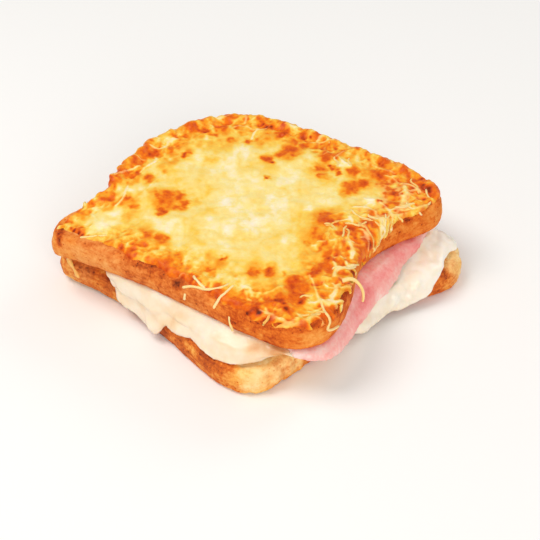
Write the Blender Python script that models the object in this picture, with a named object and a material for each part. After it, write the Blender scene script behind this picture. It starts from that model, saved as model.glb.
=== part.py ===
"""Croque monsieur: two slices of toasted sandwich bread, white sauce and a slice of ham between them,
and a layer of grilled grated cheese on top.

Metres, +Z up. X runs along the upper slice's front edge towards the side where the ham hangs out,
Y from that edge to the back. The origin is under the middle of the whole sandwich, on the surface
that it rests on.

Every layer is laid out along the same spokes, which run out from one upright axis, the stack axis.
A ring has one point on each spoke, and a layer is the skin over its rings. Neighbouring layers
take their rings from the same outlines and sections, so they fit each other with an even gap.
"""

import math
import random

import bmesh
import bpy
import numpy as np
from mathutils import Vector, noise

MM = 0.001

# Sizes in metres
GAP = 0.4 * MM  # air between two layers
SLICE_THICKNESS = 10.8 * MM
UPPER_EDGE_RADIUS = 3.0 * MM  # rounding of a slice's upper edge
LOWER_EDGE_RADIUS = 1.4 * MM  # rounding of its lower edge
CRUST_BULGE = 0.5 * MM  # how far the crust swells between a slice's two faces
UPPER_SLICE_HEIGHT = 22.0 * MM  # underside of the upper slice
HAM_THICKNESS = 2.0 * MM
HAM_WAVE = 1.4 * MM  # how far the hanging ham waves in and out
BELOW_HAM = 1.4 * MM  # the sauce stays this far under the ham's hanging edge
SAUCE_UNDER_SLICE = 5.0 * MM  # how far the sauce's close fit to the lower slice runs inwards
CHEESE_THICKNESS = 1.7 * MM
CHEESE_RELIEF = 1.5 * MM  # height of the melted cheese's lumps
CHEESE_BORDER = 1.2 * MM  # over this width the cheese's border rounds off where it lies on the flat
BROAD_LUMP = 13 * MM
FINE_LUMP = 5.5 * MM
SHRED_RADIUS = 0.8 * MM
SHRED_COUNT = 24
SHRED_SIDES = 5
SHRED_STEPS = 5
SPOKE_COUNT = 70
FLAT_SHARES = (0.45, 0.68, 0.86)  # radii of the rings across a slice's flat faces, 1 at its edge

# Outlines of the two slices around the stack axis, in millimetres, counter-clockwise from the
# right-hand side. A sandwich loaf has a narrow waist below the bulge of its upper crust.
UPPER_SLICE_OUTLINE = [
    (50, -2), (49.5, 8), (51.5, 19), (56, 30), (59, 39), (58, 46), (52.5, 52), (42, 55.5),
    (20, 57), (-6, 57.6), (-31, 54.2), (-47, 47), (-56.8, 32), (-61.8, 12), (-60.8, -12), (-58.2, -32),
    (-62.6, -46), (-58.8, -55.4), (-45, -56.8), (0, -56), (43, -56.5), (56, -53), (62, -42),
    (60, -28), (54.5, -13),
]
LOWER_SLICE_OUTLINE = [
    (53.5, -10), (56.5, 5), (61, 15), (66, 24), (70, 31), (71.4, 39), (67.2, 48), (53, 53.5),
    (22, 55), (-16, 54), (-44, 48), (-57, 33), (-61, 8), (-60, -22), (-64, -40), (-63.3, -47.4),
    (-57.4, -50.4), (-45, -49.3), (-30, -50), (-11.5, -53.4), (3.2, -57.6), (15.6, -61.4),
    (25, -64), (33.5, -64.8), (40.5, -63), (45, -59.2), (47.6, -52.5), (49.2, -42), (50.5, -28),
]

# What changes round the sandwich is given at stations: (direction in degrees, value in mm) pairs,
# counted counter-clockwise from +X.
# How far the sauce's foot runs past the start of the lower slice's rounded upper edge. It is
# negative where the sauce stays short of the edge, and about 10 where it reaches the ground.
SAUCE_FOOT = [
    (8, 9.6), (16, 9.4), (20, 5.6), (23.5, 1.6), (27, -1.0), (31, -2.5), (34, 0.0), (40, 1.0),
    (52, -2.0), (80, -1.0), (110, -4.0), (140, -3.0), (170, -2.0), (195, -6.0), (222, -11.0),
    (229, -9.0), (234.5, -4.0), (240, 3.0), (246, 6.5), (254, 8.0), (258, 9.2), (262, 6.0),
    (267, 2.0), (275, 2.5), (280, 0.5), (288, 2.0), (297, 0.5), (304, -1.0), (309, -2.5),
    (317, 0.5), (328, 3.0), (340, 8.5), (352, 9.3),
]
SAUCE_FOOT_THICKNESS = [
    (8, 3.6), (19, 3.4), (24, 2.2), (40, 2.2), (90, 1.8), (180, 1.8), (222, 1.2), (240, 1.6),
    (256, 2.0), (261, 3.0), (290, 2.2), (315, 1.8), (340, 2.6),
]
# How far the sauce's outer face swells beyond a straight line from its foot to its top
SAUCE_BULGE = [
    (0, 0.8), (12, 0.4), (24, 0.3), (33, 0.8), (70, 1.5), (130, 2.0), (180, 1.2), (222, 0.6),
    (241, 1.2), (254, 1.0), (260, 3.0), (268, 1.8), (280, 2.6), (296, 3.2), (310, 2.2),
    (330, 0.8), (345, 1.0),
]
# How far inside the upper slice's lower edge the sauce meets the slice
SAUCE_TOP_INSET = [
    (0, 2.0), (30, 1.4), (60, 3.0), (120, 3.5), (180, 3.5), (222, 13.0), (233, 9.5), (238.5, 1.6),
    (270, 1.2), (300, 1.2), (314, 2.0), (330, 2.0),
]
# The ham hangs out past the upper slice from the first of these directions to the second
HAM_HANGS = (-48, 39)
# How far out and how far down the ham's hanging edge is. Elsewhere the sauce's shoulder has it.
HAM_OUT = [
    (3, 9.0), (10, 8.5), (19.5, 6.0), (27, 3.2), (32, 1.2), (36, 0.3), (44, 0.1), (60, 0.8),
    (180, 0.8), (300, 0.8), (311, 0.2), (316, 0.3), (320, 1.4), (324, 2.4), (330, 2.8), (338, 3.6),
    (346, 6.0), (353, 8.0),
]
HAM_DROP = [
    (3, 7.0), (10, 6.0), (19.5, 4.2), (27, 2.6), (32, 0.9), (36, 0.2), (44, 0.1), (60, 1.5),
    (180, 1.5), (300, 1.5), (311, 0.2), (316, 0.3), (320, 1.6), (324, 3.4), (330, 5.0), (338, 6.4),
    (346, 7.0), (353, 7.2),
]
# Elsewhere, how far the ham reaches, as a share of the way to where the sauce meets the slice
HAM_REACH = [
    (45, 0.88), (60, 0.86), (120, 0.88), (180, 0.84), (205, 0.76), (222, 0.66), (240, 0.74),
    (262, 0.84), (290, 0.84), (308, 0.88),
]
# How far the melted cheese runs past the start of the upper slice's rounded upper edge
CHEESE_MARGIN = [
    (2, 5.2), (10, 5.6), (17, 3.0), (26, 1.4), (36, 1.2), (44, 2.2), (52, 2.4), (66, 4.4), (84, 2.4),
    (100, 3.8), (122, 2.6), (140, 4.2), (160, 3.2), (182, 3.8), (198, 2.6), (211, -0.4), (220, -1.2),
    (230, -0.8), (240, 1.0), (251, 1.5), (260, 1.4), (268, 1.6), (276, 2.2), (282, 3.0), (294, 2.2),
    (306, 3.8), (318, 1.8), (327, 2.4), (336, 2.0), (345, 3.6), (354, 4.6),
]
ROUNDING_LENGTH = UPPER_EDGE_RADIUS * math.pi / 2  # along a slice's rounded upper edge
LEFT_FRONT_CORNER = (-60 * MM, -53 * MM)
CORNER_REACH = 42 * MM  # how far the bend of the two slices' left front corners spreads
LOWER_CORNER_CURL = 2.5 * MM  # how far the lower slice's corner lifts off the ground
UPPER_CORNER_DROOP = 5.5 * MM  # how far the upper slice's corner sinks towards it

COLOURS = {  # red, green, blue, roughness
    "lower_slice": (0.72, 0.36, 0.10, 0.85),
    "white_sauce": (0.90, 0.80, 0.62, 0.40),
    "ham": (0.85, 0.42, 0.38, 0.45),
    "upper_slice": (0.68, 0.30, 0.07, 0.85),
    "grilled_cheese": (0.90, 0.62, 0.20, 0.45),
}


def clear_scene():
    for item in list(bpy.data.objects):
        bpy.data.objects.remove(item, do_unlink=True)


def smooth_closed_curve(points, steps=12):
    """A dense closed curve through the points, in metres."""
    knots = np.array(points, float) * MM
    following = np.roll(knots, -1, axis=0)
    spans = np.linalg.norm(following - knots, axis=1)[:, None]
    spans_before = np.roll(spans, 1, axis=0)
    slopes = (following - np.roll(knots, 1, axis=0)) / (spans + spans_before)
    start, end = slopes * spans, np.roll(slopes, -1, axis=0) * spans
    dense = []
    for u in np.arange(steps) / steps:
        dense.append(
            (2 * u**3 - 3 * u**2 + 1) * knots
            + (u**3 - 2 * u**2 + u) * start
            + (3 * u**2 - 2 * u**3) * following
            + (u**3 - u**2) * end
        )
    return np.stack(dense, axis=1).reshape(-1, 2)


def spoke_angles(curve, count):
    """Directions of points spaced evenly along the curve."""
    closed = np.vstack([curve, curve[:1]])
    lengths = np.concatenate([[0], np.cumsum(np.linalg.norm(np.diff(closed, axis=0), axis=1))])
    where = np.arange(count) / count * lengths[-1]
    x, y = (np.interp(where, lengths, closed[:, i]) for i in (0, 1))
    return np.unwrap(np.arctan2(y, x))


def at_spokes(stations):
    """A value in metres for each spoke, eased between (degrees, millimetres) stations."""
    degrees = np.degrees(ANGLES) % 360
    known = sorted(stations)
    known = [(known[-1][0] - 360, known[-1][1])] + known + [(known[0][0] + 360, known[0][1])]
    values = np.zeros(len(degrees))
    for (start, low), (end, high) in zip(known, known[1:]):
        inside = (degrees >= start) & (degrees < end)
        u = (degrees[inside] - start) / (end - start)
        values[inside] = low + (high - low) * u * u * (3 - 2 * u)
    return values * MM


class Outline:
    """The outline of a slice, read as a radius on each spoke."""

    DEEPEST_INSET = 7 * MM  # beyond this, rings are scaled copies

    def __init__(self, points):
        self.curve = smooth_closed_curve(points)
        along = np.roll(self.curve, -1, axis=0) - np.roll(self.curve, 1, axis=0)
        along /= np.linalg.norm(along, axis=1)[:, None]
        self.outward = np.stack([along[:, 1], -along[:, 0]], axis=1)

    def radius_at(self, inset, angles):
        """Radius in each direction of the outline drawn in by one inset."""
        near = min(inset, self.DEEPEST_INSET)
        moved = self.curve - self.outward * near
        bearings = np.arctan2(moved[:, 1], moved[:, 0])
        order = np.argsort(bearings)
        radii = np.interp(
            angles, bearings[order], np.linalg.norm(moved, axis=1)[order], period=2 * math.pi
        )
        return radii - (inset - near)

    def radii(self, inset):
        """Radius on each spoke for an inset, or for an array of one inset a spoke."""
        insets = np.broadcast_to(inset, ANGLES.shape)
        return np.array([float(self.radius_at(d, a)) for d, a in zip(insets, ANGLES)])


ANGLES = spoke_angles(smooth_closed_curve(UPPER_SLICE_OUTLINE), SPOKE_COUNT)
UPPER = Outline(UPPER_SLICE_OUTLINE)
LOWER = Outline(LOWER_SLICE_OUTLINE)


def corner_bend(x, y):
    """1 at the left front corner, easing to 0 at CORNER_REACH from it."""
    away = np.hypot(x - LEFT_FRONT_CORNER[0], y - LEFT_FRONT_CORNER[1]) / CORNER_REACH
    return np.clip(1 - away, 0, 1) ** 2


def lower_lift(x, y):
    """Height of the lower slice's underside."""
    return LOWER_CORNER_CURL * corner_bend(x, y)


def upper_lift(x, y):
    """Height of the upper slice's underside."""
    return UPPER_SLICE_HEIGHT - UPPER_CORNER_DROOP * corner_bend(x, y)


def ring(radii, heights, lift=None):
    """One point on each spoke. Heights count from the lift of a slice, where one is given."""
    radii = np.broadcast_to(radii, ANGLES.shape)
    x, y = radii * np.cos(ANGLES), radii * np.sin(ANGLES)
    z = np.broadcast_to(heights, ANGLES.shape) + (lift(x, y) if lift else 0)
    return np.stack([x, y, z], axis=1)


def section(distance, offset):
    """Inset and height, from a slice's underside, of points along its upper edge: distance counts
    from the start of the rounding, out over it and down the crust, offset is off the bread."""
    distance, offset = np.broadcast_arrays(distance, offset)
    turn = np.clip(distance / UPPER_EDGE_RADIUS, 0, math.pi / 2)
    flat = np.minimum(distance, 0)
    down = np.maximum(distance - ROUNDING_LENGTH, 0)
    share_down = np.clip(down / (SLICE_THICKNESS - UPPER_EDGE_RADIUS), 0, 1)
    swell = CRUST_BULGE * np.sin(share_down * math.pi)
    around = UPPER_EDGE_RADIUS + offset
    inset = UPPER_EDGE_RADIUS - around * np.sin(turn) - flat - swell
    height = SLICE_THICKNESS - UPPER_EDGE_RADIUS + around * np.cos(turn) - down
    return inset, height


def wrapped_ring(outline, lift, distance, offset):
    """A ring that follows the slice's upper edge at some distance along it and offset from it."""
    inset, height = section(distance, offset)
    return ring(outline.radii(inset), height, lift)


def skin(name, rings):
    """A closed object over the rings, from the underside's middle to the top's middle."""
    mesh = bmesh.new()
    loops = [[mesh.verts.new(point) for point in loop] for loop in rings]
    for below, above in zip(loops, loops[1:]):
        for i in range(len(below)):
            j = (i + 1) % len(below)
            if (below[i].co - above[j].co).length <= (below[j].co - above[i].co).length:
                mesh.faces.new((below[i], below[j], above[j]))
                mesh.faces.new((below[i], above[j], above[i]))
            else:
                mesh.faces.new((below[i], below[j], above[i]))
                mesh.faces.new((below[j], above[j], above[i]))
    for loop, rising in ((loops[0], False), (loops[-1], True)):
        middle = mesh.verts.new(sum((v.co for v in loop), Vector()) / len(loop))
        for i in range(len(loop)):
            j = (i + 1) % len(loop)
            corners = (loop[i], loop[j], middle)
            mesh.faces.new(corners if rising else corners[::-1])
    return finish(name, mesh)


def finish(name, mesh):
    data = bpy.data.meshes.new(name)
    mesh.to_mesh(data)
    mesh.free()
    data.shade_smooth()
    data.set_sharp_from_angle(angle=math.radians(50))
    made = bpy.data.objects.new(name, data)
    bpy.context.scene.collection.objects.link(made)
    return made


def give_material(item):
    colour = COLOURS[item.name]
    material = bpy.data.materials.new(item.name)
    material.use_nodes = True
    shader = material.node_tree.nodes["Principled BSDF"]
    shader.inputs["Base Color"].default_value = (*colour[:3], 1)
    shader.inputs["Roughness"].default_value = colour[3]
    shader.inputs["Metallic"].default_value = 0
    item.data.materials.clear()
    item.data.materials.append(material)


def bread_slice(name, outline, lift):
    """A slice of bread with a crust that swells a little between its two faces."""
    edge = outline.radii(UPPER_EDGE_RADIUS)
    middle_height = (LOWER_EDGE_RADIUS + SLICE_THICKNESS - UPPER_EDGE_RADIUS) / 2
    corner = LOWER_EDGE_RADIUS * (1 - math.cos(math.radians(45)))
    rings = [ring(edge * share, 0, lift) for share in FLAT_SHARES]
    rings += [
        ring(outline.radii(LOWER_EDGE_RADIUS), 0, lift),
        ring(outline.radii(corner), corner, lift),
        ring(outline.radii(0), LOWER_EDGE_RADIUS, lift),
        ring(outline.radii(-CRUST_BULGE), middle_height, lift),
    ]
    for turn in (90, 45, 0):
        rings.append(wrapped_ring(outline, lift, UPPER_EDGE_RADIUS * math.radians(turn), 0))
    rings += [ring(edge * share, SLICE_THICKNESS, lift) for share in reversed(FLAT_SHARES)]
    return skin(name, rings)


class Filling:
    """The line on each spoke where the sauce meets the upper slice, and the curtain from there:
    the curve that the sauce's shoulder and the ham over it share."""

    def __init__(self):
        self.top_radius = UPPER.radii(at_spokes(SAUCE_TOP_INSET))
        degrees = (np.degrees(ANGLES) - HAM_HANGS[0]) % 360
        hangs = degrees < HAM_HANGS[1] - HAM_HANGS[0]
        # 1 is the line where the sauce meets the slice, 2 the ham's hanging edge
        self.reach = np.where(hangs, 2.0, at_spokes(HAM_REACH) / MM)
        beside = np.maximum(np.roll(self.reach, 1), np.roll(self.reach, -1))
        self.widest_reach = np.minimum(np.maximum(self.reach, beside), 1)
        self.sunk = np.where(self.widest_reach < 1, 0, HAM_THICKNESS + GAP)
        self.out = at_spokes(HAM_OUT)
        self.drop = at_spokes(HAM_DROP)

    def ham_level(self, radii):
        """Height of the sauce's top where the ham lies on it."""
        x, y = radii * np.cos(ANGLES), radii * np.sin(ANGLES)
        return upper_lift(x, y) - 2 * GAP - HAM_THICKNESS

    def free_level(self, radii):
        """Height of the sauce's top along its outer line, where no ham lies on it."""
        x, y = radii * np.cos(ANGLES), radii * np.sin(ANGLES)
        return upper_lift(x, y) - GAP - self.sunk

    def curtain(self, u, offset=0.0):
        """Radii and heights at share u down the curtain, moved off it by the offset."""
        turn = u * math.pi / 2
        run = self.out * np.sin(turn)
        fall = self.drop * (1 - np.cos(turn))
        along_out, along_down = self.out * np.cos(turn), self.drop * np.sin(turn)
        length = np.hypot(along_out, along_down)
        radii = self.top_radius + run + offset * along_down / length
        return radii, self.free_level(self.top_radius) - fall + offset * along_out / length


def sauce_rings(filling):
    """Underside, foot, swelling outer face, shoulder and top of the white sauce."""
    foot = at_spokes(SAUCE_FOOT)
    thickness = at_spokes(SAUCE_FOOT_THICKNESS)
    bulge = at_spokes(SAUCE_BULGE)
    start = np.minimum(foot, 0) - SAUCE_UNDER_SLICE
    inner = LOWER.radii(UPPER_EDGE_RADIUS - start)
    floor = SLICE_THICKNESS + GAP
    rings = [ring(inner * share, floor, lower_lift) for share in FLAT_SHARES]
    # a foot that moves far from one spoke to the next stands off more, to clear the rounded edge
    step = np.maximum(np.abs(foot - np.roll(foot, 1)), np.abs(foot - np.roll(foot, -1)))
    gap = GAP + np.minimum(step**2 / (10 * UPPER_EDGE_RADIUS), 1.1 * MM)
    hangs = foot > ROUNDING_LENGTH + GAP
    marks = (start, 0.0, ROUNDING_LENGTH / 2, ROUNDING_LENGTH, foot)
    for share, mark in zip((0.0, 0.4, 0.7, 0.9, 1.0), marks):
        distance = np.where(hangs, mark, start + (foot - start) * share)
        rings.append(wrapped_ring(LOWER, lower_lift, distance, gap))
    nose = wrapped_ring(LOWER, lower_lift, foot + 0.35 * thickness, gap + 0.45 * thickness)
    heel = wrapped_ring(LOWER, lower_lift, foot - 0.1 * thickness, gap + thickness)
    over_edge = np.minimum(foot * 0.6, 3.4 * MM) - 0.3 * thickness
    over_top = gap + np.minimum(1.3 * thickness, 2.5 * MM)
    crest = wrapped_ring(LOWER, lower_lift, over_edge, over_top)
    rings += [nose, heel, crest]
    shoulder = ring(*filling.curtain(1.0))
    shoulder[:, 2] -= BELOW_HAM
    crest_radius = np.hypot(crest[:, 0], crest[:, 1])
    shoulder_radius = np.hypot(shoulder[:, 0], shoulder[:, 1])
    rise = shoulder[:, 2] - crest[:, 2]
    run = shoulder_radius - crest_radius
    length = np.hypot(rise, run)
    for share in (0.4, 1.0):
        swell = bulge * math.sin(math.pi * min(share * 1.2, 1))
        radius = crest_radius + run * share + swell * rise / length
        rings.append(ring(radius, crest[:, 2] + rise * share - swell * run / length))
    for share in (1.0, 0.66, 0.33, 0.0):
        rings.append(ring(*filling.curtain(share)))
    top = filling.top_radius
    ham_edge = top * filling.widest_reach
    step_top = np.minimum(top - 2.0 * MM, ham_edge + 1.2 * MM)
    step_foot = np.minimum(top - 2.8 * MM, ham_edge + 0.5 * MM)
    rings.append(ring(step_top, filling.free_level(step_top)))
    for share in (1.0, 0.66, 0.3):
        rings.append(ring(step_foot * share, filling.ham_level(step_foot * share)))
    return rings


def ham_rings(filling):
    """The ham lies flat under the upper slice and hangs down over the sauce on the right."""
    shares = (0.2, 0.42, 0.5, 0.665, 0.83, 1.0)
    waves = HAM_WAVE * (0.5 + 0.5 * np.sin(ANGLES * 9 + 0.6 * np.sin(ANGLES * 4)))

    def face(share, above):
        reach = filling.reach * share
        hanging = np.clip(reach - 1, 0, 1)
        radii, heights = filling.curtain(hanging, GAP + above + waves * hanging**2)
        lying = reach < 1
        flat_radii = filling.top_radius * np.minimum(reach, 1)
        flat = filling.ham_level(flat_radii) + GAP + above
        return ring(np.where(lying, flat_radii, radii), np.where(lying, flat, heights))

    under = [face(share, 0.0) for share in shares[:-1]]
    rim = [face(1.0, HAM_THICKNESS * 0.25), face(1.0, HAM_THICKNESS * 0.75)]
    over = [face(share, HAM_THICKNESS) for share in reversed(shares[:-1])]
    return under + rim + over


def cheese_relief(points, grain):
    """Height of the melted cheese's lumps, 0 to 1. Grain, 0 to 1, adds fine ones."""
    values = []
    for x, y, _ in points:
        broad = noise.noise(Vector((x / BROAD_LUMP, y / BROAD_LUMP, 0.3)))
        fine = noise.noise(Vector((x / FINE_LUMP, y / FINE_LUMP, 0.9)))
        values.append(0.45 + 0.45 * broad + (0.25 + 0.45 * grain) * fine)
    return np.clip(np.array(values), 0, 1)


def cheese_rings():
    """The melted cheese lies on the upper slice and runs over its edge here and there."""
    margin = at_spokes(CHEESE_MARGIN)
    start = np.minimum(0, margin - CHEESE_BORDER)  # where the border's rounding begins
    edge = UPPER.radii(UPPER_EDGE_RADIUS)
    under = [ring(edge * share, SLICE_THICKNESS + GAP, upper_lift) for share in FLAT_SHARES]
    marks = (0.0, ROUNDING_LENGTH / 2, ROUNDING_LENGTH * 0.9, margin)
    for share, mark in zip((0.0, 0.5, 0.85, 1.0), marks):
        distance = np.where(margin > ROUNDING_LENGTH, mark, start + (margin - start) * share)
        under.append(wrapped_ring(UPPER, upper_lift, distance, GAP))
    over = [wrapped_ring(UPPER, upper_lift, margin + 0.5 * MM, GAP + CHEESE_THICKNESS * 0.5)]
    for share in (0.85, 0.45, 0.0):
        distance = start + (margin - start) * share
        bumps = cheese_relief(wrapped_ring(UPPER, upper_lift, distance, GAP), 1)
        height = GAP + CHEESE_THICKNESS * (1 - 0.35 * share) + CHEESE_RELIEF * bumps
        over.append(wrapped_ring(UPPER, upper_lift, distance, height))
    for share in (0.92, 0.84, 0.74, 0.62, 0.48, 0.32, 0.12):
        top = ring(edge * share, SLICE_THICKNESS + GAP + CHEESE_THICKNESS, upper_lift)
        top[:, 2] += CHEESE_RELIEF * cheese_relief(top, share**3)
        over.append(top)
    return under + over


def upper_slice_point(angle, distance, offset):
    """A point off the upper slice's surface, distance along its edge as in section."""
    inset, height = section(distance, offset)
    radius = UPPER.radius_at(inset, angle)
    x, y = radius * math.cos(angle), radius * math.sin(angle)
    return Vector((x, y, upper_lift(x, y) + height))


def shred(path, radius):
    """A closed strand of grated cheese along the path."""
    turns = [2 * math.pi * k / SHRED_SIDES for k in range(SHRED_SIDES)]
    mesh = bmesh.new()
    loops = []
    for i, point in enumerate(path):
        along = (path[min(i + 1, len(path) - 1)] - path[max(i - 1, 0)]).normalized()
        across = along.cross(Vector((0.13, 0.21, 0.97))).normalized()
        upright = across.cross(along)
        width = radius * (0.7 if i in (0, len(path) - 1) else 1.0)
        loop = [point + (across * math.cos(t) + upright * math.sin(t)) * width for t in turns]
        loops.append([mesh.verts.new(corner) for corner in loop])
    for below, above in zip(loops, loops[1:]):
        for k in range(SHRED_SIDES):
            j = (k + 1) % SHRED_SIDES
            mesh.faces.new((below[k], below[j], above[j], above[k]))
    mesh.faces.new(loops[0][::-1])
    mesh.faces.new(loops[-1])
    bmesh.ops.recalc_face_normals(mesh, faces=mesh.faces)
    return finish("shred", mesh)


def shreds():
    """Strands of grated cheese round the margin. Some lie across it and some hang over the crust."""
    draw = random.Random(11)
    margin = at_spokes(CHEESE_MARGIN)
    made = []
    for i in range(SHRED_COUNT):
        angle = 2 * math.pi * (i + draw.uniform(-0.35, 0.35)) / SHRED_COUNT
        spoke = int(np.argmin(np.abs(np.angle(np.exp(1j * (ANGLES - angle))))))
        hangs = draw.random() < 0.45
        start = -draw.uniform(4, 14) * MM
        end = margin[spoke] + (draw.uniform(1.0, 4.0) if hangs else -draw.uniform(1, 3)) * MM
        end = min(end, ROUNDING_LENGTH + 4.5 * MM)
        drift = draw.uniform(-0.16, 0.16)
        bow = draw.uniform(-0.05, 0.05)
        radius = SHRED_RADIUS * draw.uniform(0.8, 1.15)
        path = []
        for step in range(SHRED_STEPS + 1):
            u = step / SHRED_STEPS
            off = GAP + CHEESE_THICKNESS * (1 - 0.5 * u) + radius * 1.1
            around = angle + drift * u + bow * math.sin(math.pi * u)
            path.append(upper_slice_point(around, start + (end - start) * u, off))
        made.append(shred(path, radius))
    return made


def fuse(base, parts):
    """One Boolean union of the parts onto the base, applied, and the parts removed."""
    group = bpy.data.collections.new("parts_to_fuse")
    bpy.context.scene.collection.children.link(group)
    for part in parts:
        bpy.context.scene.collection.objects.unlink(part)
        group.objects.link(part)
    union = base.modifiers.new("union", "BOOLEAN")
    union.operation = "UNION"
    union.operand_type = "COLLECTION"
    union.collection = group
    union.solver = "EXACT"
    bpy.context.view_layer.update()
    joined = bpy.data.meshes.new_from_object(base.evaluated_get(bpy.context.evaluated_depsgraph_get()))
    base.modifiers.remove(union)
    base.data = joined
    for part in parts:
        bpy.data.objects.remove(part, do_unlink=True)
    bpy.data.collections.remove(group)


def centre_on_footprint(items):
    """Moves the whole so that the origin is under its middle, on its lowest level."""
    points = np.vstack([[tuple(v.co) for v in item.data.vertices] for item in items])
    low, high = points.min(axis=0), points.max(axis=0)
    shift = Vector((-(low[0] + high[0]) / 2, -(low[1] + high[1]) / 2, -low[2]))
    for item in items:
        item.location = shift


def main():
    clear_scene()
    filling = Filling()
    cheese = skin("grilled_cheese", cheese_rings())
    fuse(cheese, shreds())
    items = [
        bread_slice("lower_slice", LOWER, lower_lift),
        skin("white_sauce", sauce_rings(filling)),
        skin("ham", ham_rings(filling)),
        bread_slice("upper_slice", UPPER, upper_lift),
        cheese,
    ]
    for item in items:
        give_material(item)
    centre_on_footprint(items)


main()
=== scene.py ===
import math

import bpy
import numpy as np
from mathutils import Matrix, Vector


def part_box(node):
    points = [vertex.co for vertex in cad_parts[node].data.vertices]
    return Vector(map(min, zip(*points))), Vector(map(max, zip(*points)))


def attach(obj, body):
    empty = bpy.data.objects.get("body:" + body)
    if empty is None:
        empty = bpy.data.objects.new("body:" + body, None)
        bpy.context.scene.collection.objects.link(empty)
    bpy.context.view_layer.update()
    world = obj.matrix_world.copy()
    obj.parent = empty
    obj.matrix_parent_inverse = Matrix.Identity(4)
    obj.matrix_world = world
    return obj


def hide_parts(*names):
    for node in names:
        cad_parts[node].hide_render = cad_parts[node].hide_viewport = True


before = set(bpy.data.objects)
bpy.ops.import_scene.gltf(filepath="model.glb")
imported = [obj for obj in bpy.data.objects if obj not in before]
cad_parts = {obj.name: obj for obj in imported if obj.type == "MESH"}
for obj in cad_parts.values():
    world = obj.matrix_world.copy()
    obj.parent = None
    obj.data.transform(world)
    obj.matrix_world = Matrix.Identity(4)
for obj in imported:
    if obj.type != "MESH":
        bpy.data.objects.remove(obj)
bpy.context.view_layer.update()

mm = 0.001

breadForm = {
    "thickness": 10.8 * mm,
    # rounding of the upper and lower edge, and how far the crust swells out between them
    "upperRound": 3.0 * mm,
    "lowerRound": 1.4 * mm,
    "swell": 0.5 * mm,
    # turns of both roundings in degrees, and the steps up the crust between them
    "upperTurns": (15, 30, 45, 60, 75),
    "lowerTurns": (25, 50, 75),
    "steps": 12,
    # from the middle of the upper slice's box to the line that outlines are measured from
    "shiftX": 0.24 * mm,
    "shiftY": -0.44 * mm,
    # where each slice lies, and how far its left front corner is bent up
    "upperBase": 22.0 * mm,
    "upperBend": -5.5 * mm,
    "lowerBase": 0.0,
    "lowerBend": 2.5 * mm,
    "cornerX": -60 * mm,
    "cornerY": -53 * mm,
    "cornerReach": 42 * mm,
}

# The slices stand on a vertical line, and outlines and patches are measured from it
sliceLow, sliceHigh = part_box("upper_slice")
axisX = (sliceLow.x + sliceHigh.x) / 2 + breadForm["shiftX"]
axisY = (sliceLow.y + sliceHigh.y) / 2 + breadForm["shiftY"]
axis = np.array((axisX, axisY, 0))


# Noise over points in space

def hashed(cell, seed):
    # A number from 0 to 1 that is always the same for one cell and seed
    n = cell[..., 0] * 73856093 ^ cell[..., 1] * 19349663 ^ cell[..., 2] * 83492791
    n = n ^ (seed * 2654435761 + 97)
    n = (n ^ (n >> 13)) * 1274126177
    n = (n ^ (n >> 16)) & 0xFFFFFF
    return n / float(0xFFFFFF)


def valueNoise(points, seed):
    cell = np.floor(points).astype(np.int64)
    part = points - cell
    part = part * part * part * (part * (part * 6 - 15) + 10)
    total = np.zeros(len(points))
    for corner in np.ndindex(2, 2, 2):
        weight = np.abs(1 - np.array(corner) - part)
        total += weight[:, 0] * weight[:, 1] * weight[:, 2] * hashed(cell + corner, seed)
    return total * 2 - 1


def fractal(points, size, seed, octaves=3):
    # Each octave is half the size and half the strength of the last, and the sum is mostly within 1
    shift, gain = 17.3, 1.6
    total = np.zeros(len(points))
    strength, reached = 1.0, 0.0
    for octave in range(octaves):
        total += strength * valueNoise(points / size * 2 ** octave + shift * octave, seed + octave)
        reached += strength
        strength *= 0.5
    return total / reached * gain


def pores(points, size, seed):
    # Distance to the nearest of many scattered points, and that point's own number
    scaled = points / size
    base = np.floor(scaled).astype(np.int64)
    nearest = np.full(len(points), 9.0)
    number = np.zeros(len(points))
    for corner in np.ndindex(3, 3, 3):
        cell = base + corner - 1
        spot = cell + np.stack([hashed(cell, seed + k) for k in range(3)], -1)
        away = np.linalg.norm(scaled - spot, axis=1)
        closer = away < nearest
        nearest = np.where(closer, away, nearest)
        number = np.where(closer, hashed(cell, seed + 5), number)
    return nearest * size, number


def smoothStep(low, high, value):
    t = np.clip((value - low) / (high - low), 0, 1)
    return t * t * (3 - 2 * t)


def byDirection(stations, angle):
    # stations are pairs of direction in degrees and value, filled in all the way round
    degrees, values = np.array(sorted(stations), float).T
    degrees = np.concatenate([degrees - 360, degrees, degrees + 360])
    return np.interp(np.degrees(angle), degrees, np.tile(values, 3))


def nearness(points, place, radius, sharpness=1.0):
    # 1 at the place, which is in mm, and less and less away from it
    away = np.linalg.norm(points[:, :len(place)] / mm - place, axis=1)
    return np.exp(-(away / radius) ** 2 * sharpness)


# Meshes

def squareGrid(rings):
    # A square grid read as rings about its middle, with the rim's corners in order of direction
    steps = np.arange(-rings, rings + 1)
    i, j = np.meshgrid(steps, steps, indexing="ij")
    share = (np.maximum(abs(i), abs(j)) / rings).ravel()
    angle = np.arctan2(j, i).ravel()
    index = np.arange(len(share)).reshape(len(steps), -1)
    quads = np.stack([index[:-1, :-1], index[1:, :-1], index[1:, 1:], index[:-1, 1:]], -1).reshape(-1, 4)
    rim = np.flatnonzero(share == 1)
    return share, angle, quads, rim[np.argsort(angle[rim])]


def strip(lower, upper):
    # Faces between two closed loops of points
    return np.stack([lower, np.roll(lower, -1), np.roll(upper, -1), upper], -1)


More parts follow.
